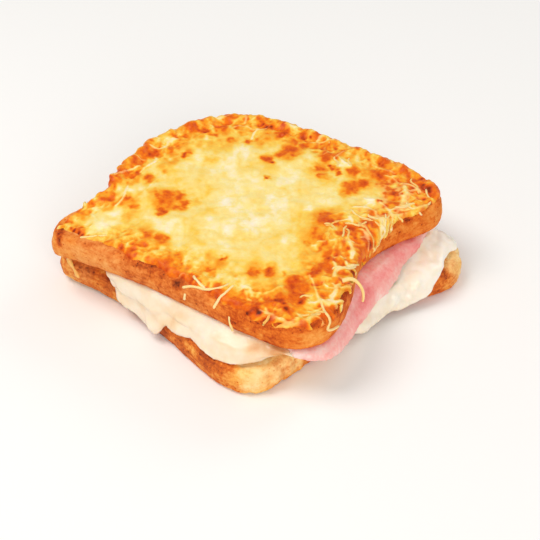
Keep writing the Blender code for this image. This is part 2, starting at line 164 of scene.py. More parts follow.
def meshObject(name, verts, quads, material):
    mesh = bpy.data.meshes.new(name)
    mesh.vertices.add(len(verts))
    mesh.vertices.foreach_set("co", verts.astype(np.float32).ravel())
    mesh.loops.add(quads.size)
    mesh.loops.foreach_set("vertex_index", quads.astype(np.int32).ravel())
    mesh.polygons.add(len(quads))
    mesh.polygons.foreach_set("loop_start", np.arange(0, quads.size, quads.shape[1], dtype=np.int32))
    mesh.update(calc_edges=True)
    mesh.validate()
    mesh.polygons.foreach_set("use_smooth", np.full(len(mesh.polygons), True))
    mesh.materials.append(material)
    item = bpy.data.objects.new(name, mesh)
    bpy.context.scene.collection.objects.link(item)
    return item


def positions(item):
    co = np.zeros(len(item.data.vertices) * 3)
    item.data.vertices.foreach_get("co", co)
    return co.reshape(-1, 3)


def normals(item):
    item.data.update()
    values = np.zeros(len(item.data.vertices) * 3)
    item.data.vertex_normals.foreach_get("vector", values)
    return values.reshape(-1, 3)


def moveTo(item, verts):
    item.data.vertices.foreach_set("co", verts.astype(np.float32).ravel())
    item.data.update()


def push(item, amount):
    moveTo(item, positions(item) + normals(item) * amount[:, None])


def paint(item, name, values):
    layer = item.data.attributes.new(name, "FLOAT", "POINT")
    layer.data.foreach_set("value", np.clip(values, 0, 1).astype(np.float32))


# Outlines of the two slices

def curveBetween(p0, p1, p2, p3, t):
    # The smooth curve from p1 to p2, led by the points before and after them
    return 0.5 * (2 * p1 + (p2 - p0) * t + (2 * p0 - 5 * p1 + 4 * p2 - p3) * t ** 2
                  + (3 * p1 - p0 - 3 * p2 + p3) * t ** 3)


def sliceOutline(node, middle=20 * mm, spokeGap=0.006, steps=16):
    # The solid's corners stand on spokes, and a smooth curve joins the outermost of each spoke
    spots = positions(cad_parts[node]) - axis
    angle, radius = np.arctan2(spots[:, 1], spots[:, 0]), np.hypot(spots[:, 0], spots[:, 1])
    angle, radius = angle[radius > middle], radius[radius > middle]
    order = np.argsort(angle)
    angle, radius = angle[order], radius[order]
    spokes = np.split(np.arange(len(angle)), np.flatnonzero(np.diff(angle) > spokeGap) + 1)
    corners = np.array([(angle[spoke].mean(), radius[spoke].max()) for spoke in spokes])
    ring = corners[:, 1:] * np.stack([np.cos(corners[:, 0]), np.sin(corners[:, 0])], -1)
    t = np.linspace(0, 1, steps, endpoint=False)[:, None, None]
    fourRings = [np.roll(ring, k, axis=0)[None] for k in (1, 0, -1, -2)]
    return curveBetween(*fourRings, t).transpose(1, 0, 2).reshape(-1, 2)


def insetCurve(curve, inset, span=3):
    along = np.roll(curve, -span, axis=0) - np.roll(curve, span, axis=0)
    normal = np.stack([along[:, 1], -along[:, 0]], -1)
    normal /= np.linalg.norm(normal, axis=1)[:, None]
    return curve - normal * inset, normal


def polar(curve, values, angle):
    # values belong to the curve's points, and the result to the directions in angle
    around = np.arctan2(curve[:, 1], curve[:, 0])
    order = np.argsort(around)
    around, values = around[order], values[order]
    turns = np.concatenate([around - 2 * np.pi, around, around + 2 * np.pi])
    return np.interp(angle, turns, np.tile(values, 3))


def radiusOf(curve, angle):
    return polar(curve, np.hypot(curve[:, 0], curve[:, 1]), angle)


def makeSlice(node, base, bend):
    curve, normal = insetCurve(sliceOutline(node), breadForm["swell"])
    edge, _ = insetCurve(curve, breadForm["upperRound"])
    foot, _ = insetCurve(curve, breadForm["lowerRound"])
    return {"curve": curve, "normal": normal, "edge": edge, "foot": foot, "base": base, "bend": bend}


upperForm = makeSlice("upper_slice", breadForm["upperBase"], breadForm["upperBend"])
lowerForm = makeSlice("lower_slice", breadForm["lowerBase"], breadForm["lowerBend"])


def outwards(form, angle):
    nx = polar(form["curve"], form["normal"][:, 0], angle)
    ny = polar(form["curve"], form["normal"][:, 1], angle)
    size = np.hypot(nx, ny)
    return nx / size, ny / size


def lifted(form, x, y, z):
    # A point of a flat slice, put where the bent slice has it
    away = np.hypot(x - breadForm["cornerX"], y - breadForm["cornerY"])
    bend = form["bend"] * np.clip(1 - away / breadForm["cornerReach"], 0, 1) ** 2
    return axis + np.stack([x, y, form["base"] + z + bend], -1)


def onCrust(form, x, y, offset):
    # A flat sheet's point (x, y), laid over the slice's upper face, its rounded edge and down its crust
    angle, reach = np.arctan2(y, x), np.hypot(x, y)
    edge = radiusOf(form["edge"], angle)
    nx, ny = outwards(form, angle)
    past = (reach - edge) * (nx * np.cos(angle) + ny * np.sin(angle))
    rounding, side = breadForm["upperRound"], breadForm["thickness"] - breadForm["upperRound"]
    turn = np.clip(past / rounding, 0, np.pi / 2)
    down = np.maximum(past - rounding * np.pi / 2, 0)
    swell = breadForm["swell"] * np.sin(np.clip(down / side, 0, 1) * np.pi)
    out = (rounding + offset) * np.sin(turn) + swell
    z = side + (rounding + offset) * np.cos(turn) - down
    inner = np.minimum(reach, edge)
    return lifted(form, inner * np.cos(angle) + nx * out, inner * np.sin(angle) + ny * out, z)


def pastEdge(x, y):
    # How far a flat sheet's point (x, y) lies past the start of the upper slice's rounded edge
    angle = np.arctan2(y, x)
    nx, ny = outwards(upperForm, angle)
    return (np.hypot(x, y) - radiusOf(upperForm["edge"], angle)) * (nx * np.cos(angle) + ny * np.sin(angle))


def edgeAt(angle):
    return float(radiusOf(upperForm["edge"], angle))


def towards(angle, reach):
    return reach * np.array((math.cos(angle), math.sin(angle)))


# Materials

def linear(red, green, blue):
    # Screen colours from 0 to 255, as the shader's own linear numbers
    def channel(c):
        return ((c / 255 + 0.055) / 1.055) ** 2.4 if c > 10 else c / 255 / 12.92
    return channel(red), channel(green), channel(blue), 1


class Paint:
    def __init__(self, name, roughness, soft=0.0, softRadius=(1, 0.5, 0.25), softScale=1.0 * mm, shine=0.5):
        self.material = bpy.data.materials.new(name)
        self.material.use_nodes = True
        self.nodes = self.material.node_tree.nodes
        self.links = self.material.node_tree.links
        self.shader = self.nodes["Principled BSDF"]
        self.feed(self.shader, {
            "Roughness": roughness, "Specular IOR Level": shine, "Subsurface Weight": soft,
            "Subsurface Radius": softRadius, "Subsurface Scale": softScale,
        })
        self.place = self.nodes.new("ShaderNodeNewGeometry").outputs["Position"]

    def feed(self, node, inputs, output=0):
        # Each input takes a fixed value or another node's output
        for key, value in inputs.items():
            if isinstance(value, bpy.types.NodeSocket):
                self.links.new(value, node.inputs[key])
            else:
                node.inputs[key].default_value = value
        return node.outputs[output]

    def attribute(self, name):
        node = self.nodes.new("ShaderNodeAttribute")
        node.attribute_name = name
        return node.outputs["Fac"]

    def noise(self, size, detail=2.0, rough=0.5, stretch=(1, 1, 1)):
        stretching = self.nodes.new("ShaderNodeVectorMath")
        stretching.operation = "MULTIPLY"
        inputs = {"Vector": self.feed(stretching, {0: self.place, 1: stretch}), "Scale": 1 / size}
        inputs.update({"Detail": detail, "Roughness": rough})
        return self.feed(self.nodes.new("ShaderNodeTexNoise"), inputs, "Fac")

    def specks(self, size):
        inputs = {"Vector": self.place, "Scale": 1 / size}
        return self.feed(self.nodes.new("ShaderNodeTexVoronoi"), inputs, "Distance")

    def spread(self, value, low, high, toLow=0.0, toHigh=1.0):
        inputs = {"Value": value, "From Min": low, "From Max": high, "To Min": toLow, "To Max": toHigh}
        return self.feed(self.nodes.new("ShaderNodeMapRange"), inputs, "Result")

    def maths(self, operation, first, second):
        node = self.nodes.new("ShaderNodeMath")
        node.operation = operation
        return self.feed(node, {0: first, 1: second})

    def varied(self, value, parts):
        # Adds to value each part, whose range from low to high becomes the one from toLow to toHigh
        for part, low, high, toLow, toHigh in parts:
            value = self.maths("ADD", value, self.spread(part, low, high, toLow, toHigh))
        return value

    def ramp(self, value, stops):
        node = self.nodes.new("ShaderNodeValToRGB")
        elements = node.color_ramp.elements
        while len(elements) < len(stops):
            elements.new(0.5)
        for element, (where, colour) in zip(elements, stops):
            element.position = where
            element.color = linear(*colour)
        return self.feed(node, {"Fac": value}, "Color")

    def mix(self, share, first, second):
        node = self.nodes.new("ShaderNodeMix")
        node.data_type = "RGBA"
        return self.feed(node, {0: share, 6: first, 7: second}, 2)

    def bump(self, heights):
        # Bumps on one another, each with its depth and strength
        normal = {}
        for height, distance, strength in heights:
            inputs = {"Height": height, "Distance": distance, "Strength": strength, **normal}
            normal = {"Normal": self.feed(self.nodes.new("ShaderNodeBump"), inputs, "Normal")}
        self.feed(self.shader, normal)

    def colour(self, value):
        self.feed(self.shader, {"Base Color": value})


# Bread

breadSkin = {
    "rings": 74,
    # size, what is added to the slice's seed, and octaves of each noise
    "wrinkleNoise": (9 * mm, 0, 3),
    "fineNoise": (2.4 * mm, 7, 2),
    "foldNoise": (1.8 * mm, 41, 2),
    "raggedNoise": (3.4 * mm, 47, 3),
    "crumbledNoise": (1.6 * mm, 53, 2),
    # folds run round the crust, and torn edges are upright
    "foldStretch": (0.35, 0.35, 1.3),
    "tornStretch": (1, 1, 0.6),
    # depth of the fine grain and of the folds
    "fine": 0.09 * mm,
    "fold": 0.1 * mm,
    # small and large pores: spacing, added to the seed, radius at the rim and floor, share left out, depth
    "hole": (1.6 * mm, 11, 0.75 * mm, 0.2 * mm, 0.35, 0.35 * mm),
    "cave": (4.2 * mm, 23, 1.9 * mm, 0.5 * mm, 0.45, 0.75 * mm),
    "lowest": 0.02 * mm,
    # toasting of the cut faces, and what wrinkles, fine grain and large pores add to it
    "faceToast": (0.34, 0.2, 0.1, -0.25),
    # what wrinkles, fine grain and small pores add to the toasting of the crust
    "crustToast": (0.16, 0.07, 0.12),
    # share of the crumb that shows where the crust is torn off
    "bared": 0.85,
}
upperBread = {
    "paint": "upperBread",
    # toasting of the crust, by direction
    "toastBy": [
        (-180, 0.40), (-146, 0.24), (-138, 0.36), (-118, 0.32), (-100, 0.61), (-75, 0.45), (-58, 0.49),
        (-48, 0.54), (-42, 0.40), (-37, 0.42), (-30, 0.52), (-20, 0.54), (0, 0.46), (20, 0.46), (30, 0.34),
        (36, 0.31), (42, 0.42), (50, 0.42), (90, 0.48), (135, 0.42),
    ],
    # depth of the wrinkles and of the small pores in the crust
    "wrinkle": 0.32 * mm,
    "pore": 0.16 * mm,
    "seed": 11,
    # the crust reaches onto the faces from this share of the way out, and is torn in these directions
    "rimFrom": 0.93,
    "tornBy": [(-172, 0), (-160, 0.45), (-148, 0.6), (-143, 0.3), (-140, 0)],
    # share of the crumb that shows through the worn crust, by direction
    "worn": [(-150, 0), (-136, 0.2), (-116, 0.2), (-76, 0.24), (-62, 0)],
    # x, y, z, radius, strength of dark marks on the crust
    "scorched": [
        (-57, -51, 28.5, 1.7, 0.6), (-56, -54, 28, 1.7, 0.6), (-54, -56, 27, 1.6, 0.55),
        (-54, -57, 25, 1.4, 0.5), (4, -56, 31, 2.0, 0.22), (3.6, -56, 28.5, 1.6, 0.16),
        (9, -57, 27.5, 1.6, 0.14),
    ],
    # more toasting along both edges of the crust
    "edgeToast": 0.14,
    "crustTones": [
        (0.0, (250, 186, 108)), (0.25, (241, 154, 66)), (0.5, (227, 116, 34)), (0.72, (192, 74, 16)),
        (1.0, (100, 36, 14)),
    ],
    "crumbTones": [
        (0.0, (253, 232, 190)), (0.35, (250, 205, 135)), (0.65, (232, 150, 70)), (1.0, (130, 62, 24)),
    ],
}
lowerBread = {
    "paint": "lowerBread",
    "toastBy": [
        (-180, 0.55), (-150, 0.56), (-138, 0.46), (-132, 0.53), (-120, 0.58), (-100, 0.56), (-85, 0.56),
        (-70, 0.50), (-62, 0.44), (-58, 0.16), (-54, 0.12), (-51, 0.32), (-47, 0.42), (-42, 0.42),
        (-20, 0.50), (0, 0.55), (16, 0.57), (24, 0.53), (27, 0.42), (31, 0.36), (38, 0.28), (60, 0.5),
        (120, 0.55),
    ],
    "wrinkle": 0.35 * mm,
    "pore": 0.18 * mm,
    "seed": 31,
    "rimFrom": 0.972,
    "tornBy": [
        (-66, 0), (-58, 0.7), (-40, 0.9), (-36, 0.3), (-30, 0), (21, 0), (26, 0.7), (36, 1.0), (46, 0),
    ],
    "worn": [(-150, 0), (-138, 0.24), (-124, 0.24), (-110, 0.1), (-76, 0)],
    "scorched": [(-38, -50, 9, 4, 0.15)],
    # toasting added along the upper edge of the crust, by direction from -180 to 180
    "edgeToastBy": [
        (-70, 0.16), (-60, -0.1), (-40, -0.1), (-32, 0.12), (18, 0.12), (26, -0.1), (40, -0.1), (48, 0.12),
    ],
    "crustTones": [
        (0.0, (252, 210, 132)), (0.25, (246, 176, 82)), (0.5, (222, 114, 38)), (0.72, (178, 76, 30)),
        (1.0, (96, 40, 20)),
    ],
    "crumbTones": [
        (0.0, (254, 230, 178)), (0.35, (252, 208, 138)), (0.65, (232, 152, 74)), (1.0, (130, 62, 24)),
    ],
}


def breadPaint(name, values):
    coat = Paint(name, roughness=0.72, soft=0.08, softRadius=(1, 0.55, 0.25), softScale=0.7 * mm, shine=0.14)
    grain = coat.noise(1.1 * mm, detail=3.0, rough=0.65)
    mottle = coat.noise(5 * mm, detail=4.0, rough=0.65)
    wrinkle = coat.noise(1.5 * mm, detail=3.0, rough=0.6, stretch=(0.35, 0.35, 1.5))
    pitted = coat.varied(coat.specks(1.7 * mm), [(mottle, 0.42, 0.56, 0.3, 0.0)])
    toned = coat.varied(coat.attribute("toast"), [
        (mottle, 0.25, 0.75, -0.2, 0.2),
        (grain, 0.25, 0.75, -0.13, 0.13),
        (wrinkle, 0.3, 0.7, 0.09, -0.09),
        (pitted, 0.1, 0.27, 0.3, 0.0),
    ])
    crust, crumb = coat.ramp(toned, values["crustTones"]), coat.ramp(toned, values["crumbTones"])
    coat.colour(coat.mix(coat.attribute("crumb"), crust, crumb))
    coat.bump([(wrinkle, 0.35 * mm, 0.6), (pitted, 0.2 * mm, 0.5), (grain, 0.25 * mm, 0.6)])
    return coat.material


def openPores(verts, kind, seed):
    # Where the pores are, from 0 to 1, and how deep they are on a cut face
    spacing, added, rim, floor, leftOut, depth = breadSkin[kind]
    away, number = pores(verts, spacing, seed + added)
    found = smoothStep(rim, floor, away) * (number > leftOut)
    return found, found * depth


def buildSlice(name, form, values):
    share, angle, quads, rim = squareGrid(breadSkin["rings"])
    thick, rounding, low = breadForm["thickness"], breadForm["upperRound"], breadForm["lowerRound"]
    around = angle[rim]
    nx, ny = outwards(form, around)
    curve = radiusOf(form["curve"], around)
    edge, foot = share * radiusOf(form["edge"], angle), share * radiusOf(form["foot"], angle)
    under = lifted(form, foot * np.cos(angle), foot * np.sin(angle), 0)
    upper = lifted(form, edge * np.cos(angle), edge * np.sin(angle), thick)

    # The crust's section, as pairs of inset and height
    section = []
    for a in np.radians(breadForm["lowerTurns"]):
        section.append((low * (1 - math.sin(a)), low * (1 - math.cos(a))))
    for k in range(breadForm["steps"] + 1):
        z = low + (thick - low - rounding) * k / breadForm["steps"]
        section.append((-breadForm["swell"] * math.sin(math.pi * k / breadForm["steps"]), z))
    for a in np.radians(breadForm["upperTurns"]):
        section.append((rounding * (1 - math.cos(a)), thick - rounding * (1 - math.sin(a))))
    sides = [lifted(form, curve * np.cos(around) - nx * inset, curve * np.sin(around) - ny * inset, z)
             for inset, z in section]
    verts = np.concatenate([under, *sides, upper])
    count, step = len(share), len(rim)
    top = count + len(sides) * step
    loops = [rim] + [count + k * step + np.arange(step) for k in range(len(sides))] + [top + rim]
    faces = [quads[:, ::-1]] + [strip(*pair) for pair in zip(loops, loops[1:])] + [quads + top]
    item = meshObject(name, verts, np.concatenate(faces), breadPaint(values["paint"], values))

    # How far up the crust each point is, and how much of it is a cut face
    height = np.concatenate([np.zeros(count), *(np.full(step, z) for _, z in section), np.full(count, thick)])
    faceShare = np.concatenate([share, np.ones(step * len(sides)), share])
    direction = np.concatenate([angle, np.tile(around, len(sides)), angle])
    flatFace = np.concatenate([np.ones(count), np.zeros(step * len(sides)), np.ones(count)])
    crumb = flatFace * (1 - smoothStep(values["rimFrom"], 0.998, faceShare))

    def noise(kind, stretch=(1, 1, 1)):
        size, added, octaves = breadSkin[kind]
        return fractal(verts * np.array(stretch), size, values["seed"] + added, octaves)

    # Relief
    wrinkles, fine = noise("wrinkleNoise"), noise("fineNoise")
    holes, holeDepth = openPores(verts, "hole", values["seed"])
    caves, caveDepth = openPores(verts, "cave", values["seed"])
    depth = values["wrinkle"] * (wrinkles - 0.7) * 0.8 + breadSkin["fine"] * fine
    depth -= values["pore"] * holes * (1 - crumb) + crumb * (holeDepth + caveDepth)
    depth += breadSkin["fold"] * noise("foldNoise", breadSkin["foldStretch"]) * (1 - crumb)
    push(item, depth)
    torn = byDirection(values["tornBy"], direction)
    ragged = noise("raggedNoise", breadSkin["tornStretch"])
    ragged += 0.4 * noise("crumbledNoise", breadSkin["tornStretch"])
    outer = smoothStep(0.8, 1.0, faceShare)
    moved = positions(item)
    moved[:, 0] += np.cos(direction) * outer * torn * (ragged - 0.4) * mm
    moved[:, 1] += np.sin(direction) * outer * torn * (ragged - 0.4) * mm
    moved[:, 2] = np.maximum(moved[:, 2], breadSkin["lowest"])
    moveTo(item, moved)

    # Toasting, and the crumb that shows where the crust is torn or worn
    toast = byDirection(values["toastBy"], direction)
    for *place, radius, strength in values["scorched"]:
        toast = toast + strength * nearness(verts - axis, place, radius)
    fromWrinkles, fromFine, fromHoles = breadSkin["crustToast"]
    toast = toast + (fromWrinkles * wrinkles + fromFine * fine + fromHoles * holes) * (0.35 + 1.2 * toast)
    base, fromWrinkles, fromFine, fromCaves = breadSkin["faceToast"]
    faceToast = base + fromWrinkles * wrinkles + fromFine * fine + fromCaves * caves
    toast = toast * (1 - crumb) + faceToast * crumb
    bared = smoothStep(0.45, 0.85, torn + 0.25 * wrinkles) * outer * smoothStep(1 * mm, 4 * mm, height)
    worn = byDirection(values["worn"], direction) * smoothStep(-0.9, 0.5, wrinkles)
    crumb = np.maximum(np.maximum(crumb, breadSkin["bared"] * bared), worn)
    return item, toast, crumb, height, direction


upperSlice, toast, crumb, height, direction = buildSlice("upperSlice", upperForm, upperBread)
nearEdges = smoothStep(7.5 * mm, 10 * mm, height) + smoothStep(2.2 * mm, 0.4 * mm, height)
paint(upperSlice, "toast", toast + upperBread["edgeToast"] * nearEdges * (1 - crumb))
paint(upperSlice, "crumb", crumb)
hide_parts("upper_slice")
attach(upperSlice, "root")

lowerSlice, toast, crumb, height, direction = buildSlice("lowerSlice", lowerForm, lowerBread)
nearEdge = smoothStep(7.0 * mm, 9.5 * mm, height) * (1 - smoothStep(10.0 * mm, 10.8 * mm, height))
edgeToast = np.interp(np.degrees(direction), *zip(*lowerBread["edgeToastBy"]))
paint(lowerSlice, "toast", toast + nearEdge * edgeToast)
paint(lowerSlice, "crumb", crumb)
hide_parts("lower_slice")
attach(lowerSlice, "root")
print("bread built")


# Cream and ham, from the part's own forms

def resurfaced(node, name, values, material):
    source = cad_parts[node]
    copy = bpy.data.objects.new(name, source.data.copy())
    bpy.context.scene.collection.objects.link(copy)
    remesh = copy.modifiers.new("remesh", "REMESH")
    remesh.mode = "VOXEL"
    remesh.voxel_size = values["cell"]
    remesh.use_smooth_shade = True
    soften = copy.modifiers.new("soften", "SMOOTH")
    soften.factor = 0.5
    soften.iterations = values["smoothing"]
    bpy.context.view_layer.update()
    mesh = bpy.data.meshes.new_from_object(copy.evaluated_get(bpy.context.evaluated_depsgraph_get()))
    copy.modifiers.clear()
    copy.data = mesh
    mesh.materials.clear()
    mesh.materials.append(material)
    mesh.polygons.foreach_set("use_smooth", np.full(len(mesh.polygons), True))
    return copy


def softened(item, place, size, rounds):
    # Moves the points near a place towards the middle of their neighbours
    spots = positions(item)
    share = 0.5 * np.exp(-np.sum(((spots - axis) / mm - place) ** 2 / np.square(size), axis=1))
    ends = np.empty(2 * len(item.data.edges), int)
    item.data.edges.foreach_get("vertices", ends)
    own, other = np.concatenate([ends.reshape(-1, 2), ends.reshape(-1, 2)[:, ::-1]]).T
    count = np.bincount(own, minlength=len(spots))
    for k in range(rounds):
        sums = np.stack([np.bincount(own, spots[other, side], len(spots)) for side in range(3)], -1)
        spots += share[:, None] * (sums / count[:, None] - spots)
    moveTo(item, spots)


creamValues = {
    "cell": 0.75 * mm,
    "smoothing": 24,
    # size, seed and octaves of each noise
    "noise": {"slow": (8 * mm, 51, 2), "fine": (2.4 * mm, 57, 2), "cloudy": (9 * mm, 61, 2)},
    # height of the slow and of the fine waves, which run upright because heights count for this share
    "slow": 0.5 * mm,
    "fine": 0.07 * mm,
    "drawnOut": 0.35,
    # small blobs: spacing, radius, height everywhere and further height on the right
    "blobSpacing": 5.5 * mm,
    "blobRadius": 3.4 * mm,
    "blob": 0.2 * mm,
    "rightBlob": 0.4 * mm,
    # x, y, z, radius, height of the swellings and creases of the cream where it hangs out
    "lobes": [
        (-24, -57, 9, 9, 0.9), (-6, -60, 8, 7, 1.0), (-15, -59, 8, 3, -1.1), (12, -61, 11, 8, 0.8),
        (3, -61, 9, 2.5, -0.6), (26, -61, 14, 9, 0.7), (60, 5, 13, 8, 0.6), (66, 22, 13, 7, 0.8),
        (62, 14, 13, 3, -0.6), (54, -20, 12, 8, 0.6), (58, -8, 13, 3, -0.5), (62, 47, 13, 6, 1.2),
        (-9, -57, 16, 2.6, -0.8), (-7, -57, 10, 2.2, -0.7), (-5, -58, 5, 4, 0.6), (61, 26, 15, 3, -0.6),
        (58.5, -10, 3.5, 4.5, 3.0), (60.5, -4, 3, 3.5, 1.6), (61.6, 11.8, 10.4, 1.6, 1.0),
        (64.4, 16.2, 9.8, 1.5, 0.9), (63.9, 13.5, 6.8, 1.6, 0.9), (60.2, 6.1, 7.0, 1.7, 1.0),
        (66.5, 19, 7.5, 1.4, 0.8), (62, 9, 13, 1.4, 0.8), (62, 14, 12.5, 1.8, 1.1),
        (65, 18, 11.5, 1.5, 1.0), (60, 8, 9, 1.5, 1.0), (64.5, 12, 8.5, 1.3, 0.8), (-27, -51, 10, 3, 1.6),
        (-27, -52, 7, 2.5, 1.5), (-24, -54, 5, 3, 1.0), (-30, -52, 14, 3.2, 2.0),
    ],
    # x, y, radius, drop of the lower edge, how far it stands out
    "hangs": [(-5, -56, 4.5, 3.4, 0.6), (2.5, -57, 3.6, 3.2, 0.3), (10, -58, 5, 1.2, 0.0)],
    "lowest": 0.8 * mm,
    # x, y, z, radius, how far the cream is drawn in towards the slices
    "drawnIn": [(70.5, 25, 6, 5.5, 2.6), (71, 30, 10, 3.5, 1.6)],
    # x, y, z, their reach and the rounds of smoothing where a fold is evened out
    "evened": [((31, -57, 19.5), (11, 4, 3.6), 60), ((69, 27, 9), (5, 8, 6), 25)],
    # shade: start, painted shade high up on the left under the upper slice, painted light that makes the
    # cream paler on the right where the slice shades it, by noise, painted shade near the ground and in
    # creases
    "shades": (0.38, 0.12, -0.22, 0.18, 0.3, 0.2),
    # x, y, z, radius, change of the shade; among them painted shade along the ham's edge at (60, 27) and (57,
    # 33) and between the lobes at (3, -57), and painted light at (63, 20, 9), where the upper slice shades
    # the cream
    "tintsAndPaintedLight": [
        (60, 27, 14, 6, 0.22), (57, 33, 16, 5, 0.16), (45, -56, 12, 6, 0.12), (52, -30, 14, 7, 0.12),
        (60, 12, 14, 6, 0.08), (63, 20, 9, 9, -0.14), (3, -57, 16, 5, 0.22), (36, -60, 11, 5, 0.15),
        (48, -53, 18, 4, 0.8), (41, -56, 19, 5, 0.5), (30, -57, 20, 6, 0.14), (-12, -56, 12, 5, 0.1),
        (-2, -57, 9, 3, 0.12),
    ],
    "tones": [(0.0, (253, 246, 234)), (0.4, (248, 231, 206)), (0.7, (243, 212, 170)), (1.0, (224, 164, 106))],
}
creamPaint = Paint("creamSauce", roughness=0.25, soft=0.35, softRadius=(1, 0.72, 0.45), softScale=2.2 * mm)
creamGrain = creamPaint.noise(4 * mm, detail=3.0)
creamLevel = creamPaint.varied(creamPaint.attribute("shade"), [(creamGrain, 0.3, 0.7, -0.10, 0.10)])
creamPaint.colour(creamPaint.ramp(creamLevel, creamValues["tones"]))
creamPaint.bump([
    (creamPaint.noise(1.8 * mm), 0.2 * mm, 0.4),
    (creamPaint.noise(4.5 * mm, detail=1.0, rough=0.4), 0.7 * mm, 0.4),
])

cream = resurfaced("white_sauce", "creamLayer", creamValues, creamPaint.material)
spots = positions(cream) - axis
around = np.arctan2(spots[:, 1], spots[:, 0])
stretched = spots * (1, 1, creamValues["drawnOut"])
swell = np.zeros(len(spots))
for kind in ("slow", "fine"):
    swell += creamValues[kind] * fractal(stretched, *creamValues["noise"][kind])
blobAway, blobNumber = pores(spots, creamValues["blobSpacing"], 59)
blobs = np.sqrt(np.clip(1 - (blobAway / creamValues["blobRadius"]) ** 2, 0, 1)) * (0.4 + 0.6 * blobNumber)
onRight = smoothStep(-0.7, -0.1, around) * smoothStep(1.2, 0.5, around)
swell += (creamValues["rightBlob"] * onRight + creamValues["blob"]) * (blobs - 0.45)
for *place, radius, height in creamValues["lobes"]:
    swell += height * mm * nearness(spots, place, radius, 1.5)
push(cream, swell)
spots = positions(cream) - axis
for *place, radius, drop, out in creamValues["hangs"]:
    share = nearness(spots, place, radius) * smoothStep(15 * mm, 5 * mm, spots[:, 2])
    spots[:, 2] -= drop * mm * share
    spots[:, 1] -= out * mm * share
for *place, radius, back in creamValues["drawnIn"]:
    spots[:, 0] -= back * mm * nearness(spots, place, radius, 1.5)
spots[:, 2] = np.maximum(spots[:, 2], creamValues["lowest"])
moveTo(cream, spots + axis)
for place, size, rounds in creamValues["evened"]:
    softened(cream, place, size, rounds)

x, y, z = spots.T / mm
shade, underSlice, right, cloudy, low, creaseShade = creamValues["shades"]
# painted shade on the cream's upper part on the left, under the upper slice
shade = shade + underSlice * smoothStep(10, 17, z) * smoothStep(30, 10, x)
# painted light: the cream on the right is made paler where the upper slice shades it
shade += right * smoothStep(30, 52, x) * smoothStep(-40, -20, y)
# cloud noise is the cream's own tone; near the ground the cream is darker, which is painted shade
shade += cloudy * fractal(spots, *creamValues["noise"]["cloudy"]) + low * smoothStep(6, 1, z)
# painted shade in the creases, where the surface was pushed in
shade += creaseShade * smoothStep(0, -0.7, swell / mm)
# painted shade and painted light at some of the listed places, other changes of the cream's tone at the rest
for *place, radius, toneShift in creamValues["tintsAndPaintedLight"]:
    shade += toneShift * nearness(spots, place, radius)
paint(cream, "shade", shade)
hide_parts("white_sauce")
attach(cream, "root")
print("cream built", len(cream.data.polygons))

hamValues = {
    "cell": 0.62 * mm,
    "smoothing": 6,
    # the fibres run from the middle to the rim. Their width is true at this reach, and lengths count
    # for this share only
    "fibreReach": 55 * mm,
    "fibreShare": 0.12,
    # how far the ham is drawn in at the waist on the right
    "drawnIn": 4.5 * mm,
    # size, seed and octaves of each noise, and the height of waves and fibres
    "noise": {
        "wave": (11 * mm, 71, 2), "fibre": (2.6 * mm, 75, 2), "cloudy": (10 * mm, 81, 3),
        "fibrous": (5 * mm, 85, 2),
    },
    "wave": 0.3 * mm,
    "fibre": 0.04 * mm,
    # the rim is looked for in sectors this many degrees wide
    "sector": 4,
    # tone: start, and what clouds, fibres, the upper edge and the rim add; at the upper edge, under the
    # slice, this is painted light that makes the shaded ham paler
    "shades": (0.46, 0.17, 0.14, -0.2, -0.16),
    # x, y, radius, change of the tone: the lighter ones are painted highlights on the ham's front part, the
    # small darker one at (58, -47) is painted shade in a fold
    "tintsAndPaintedLight": [(52, -53, 6, -0.25), (58, -47, 2, 0.3), (62, -29, 7, -0.22), (62, -46, 4, -0.2)],
    "tones": [(0.0, (254, 216, 206)), (0.3, (251, 174, 164)), (0.6, (244, 128, 126)), (1.0, (220, 84, 94))],
}
hamPaint = Paint("cookedHam", roughness=0.33, soft=0.3, softRadius=(1, 0.35, 0.25), softScale=1.6 * mm)
hamGrain = hamPaint.noise(1.4 * mm, detail=3.0, rough=0.6)
hamLevel = hamPaint.varied(hamPaint.attribute("streaksAndPaintedLight"), [(hamGrain, 0.3, 0.7, -0.12, 0.12)])
hamPaint.colour(hamPaint.ramp(hamLevel, hamValues["tones"]))
hamPaint.bump([(hamPaint.noise(1.2 * mm, detail=3.0, rough=0.55), 0.2 * mm, 0.4)])


def hamNoise(kind, points):
    return fractal(points, *hamValues["noise"][kind])


ham = resurfaced("ham", "hamSlice", hamValues, hamPaint.material)
spots = positions(ham) - axis
around, reach = np.arctan2(spots[:, 1], spots[:, 0]), np.hypot(spots[:, 0], spots[:, 1])
degrees = np.degrees(around)
shortened = [hamValues["fibreShare"] * v for v in (reach, spots[:, 2])]
fibres = np.stack([around * hamValues["fibreReach"], *shortened], -1)
waist = smoothStep(26, 37, degrees) * smoothStep(60, 48, degrees) * smoothStep(0.55, 0.95, reach / (70 * mm))
spots[:, :2] *= (1 - hamValues["drawnIn"] * waist / reach)[:, None]
moveTo(ham, spots + axis)
waves, ridges = hamNoise("wave", spots), hamNoise("fibre", fibres)
push(ham, hamValues["wave"] * waves + hamValues["fibre"] * ridges)

sectors = 360 // hamValues["sector"]
sector = ((degrees + 180) / hamValues["sector"]).astype(int) % sectors
rimReach = np.array([reach[sector == k].max(initial=0.0) for k in range(sectors)])
rimReach = np.convolve(np.pad(rimReach, 2, "wrap"), (0.1, 0.2, 0.4, 0.2, 0.1), "valid")
toRim = (np.interp((degrees + 180) / hamValues["sector"] - 0.5, np.arange(sectors), rimReach) - reach) / mm
tone, cloudy, fibrous, upper, rimmed = hamValues["shades"]
tone = tone + cloudy * hamNoise("cloudy", spots) + fibrous * hamNoise("fibrous", fibres)
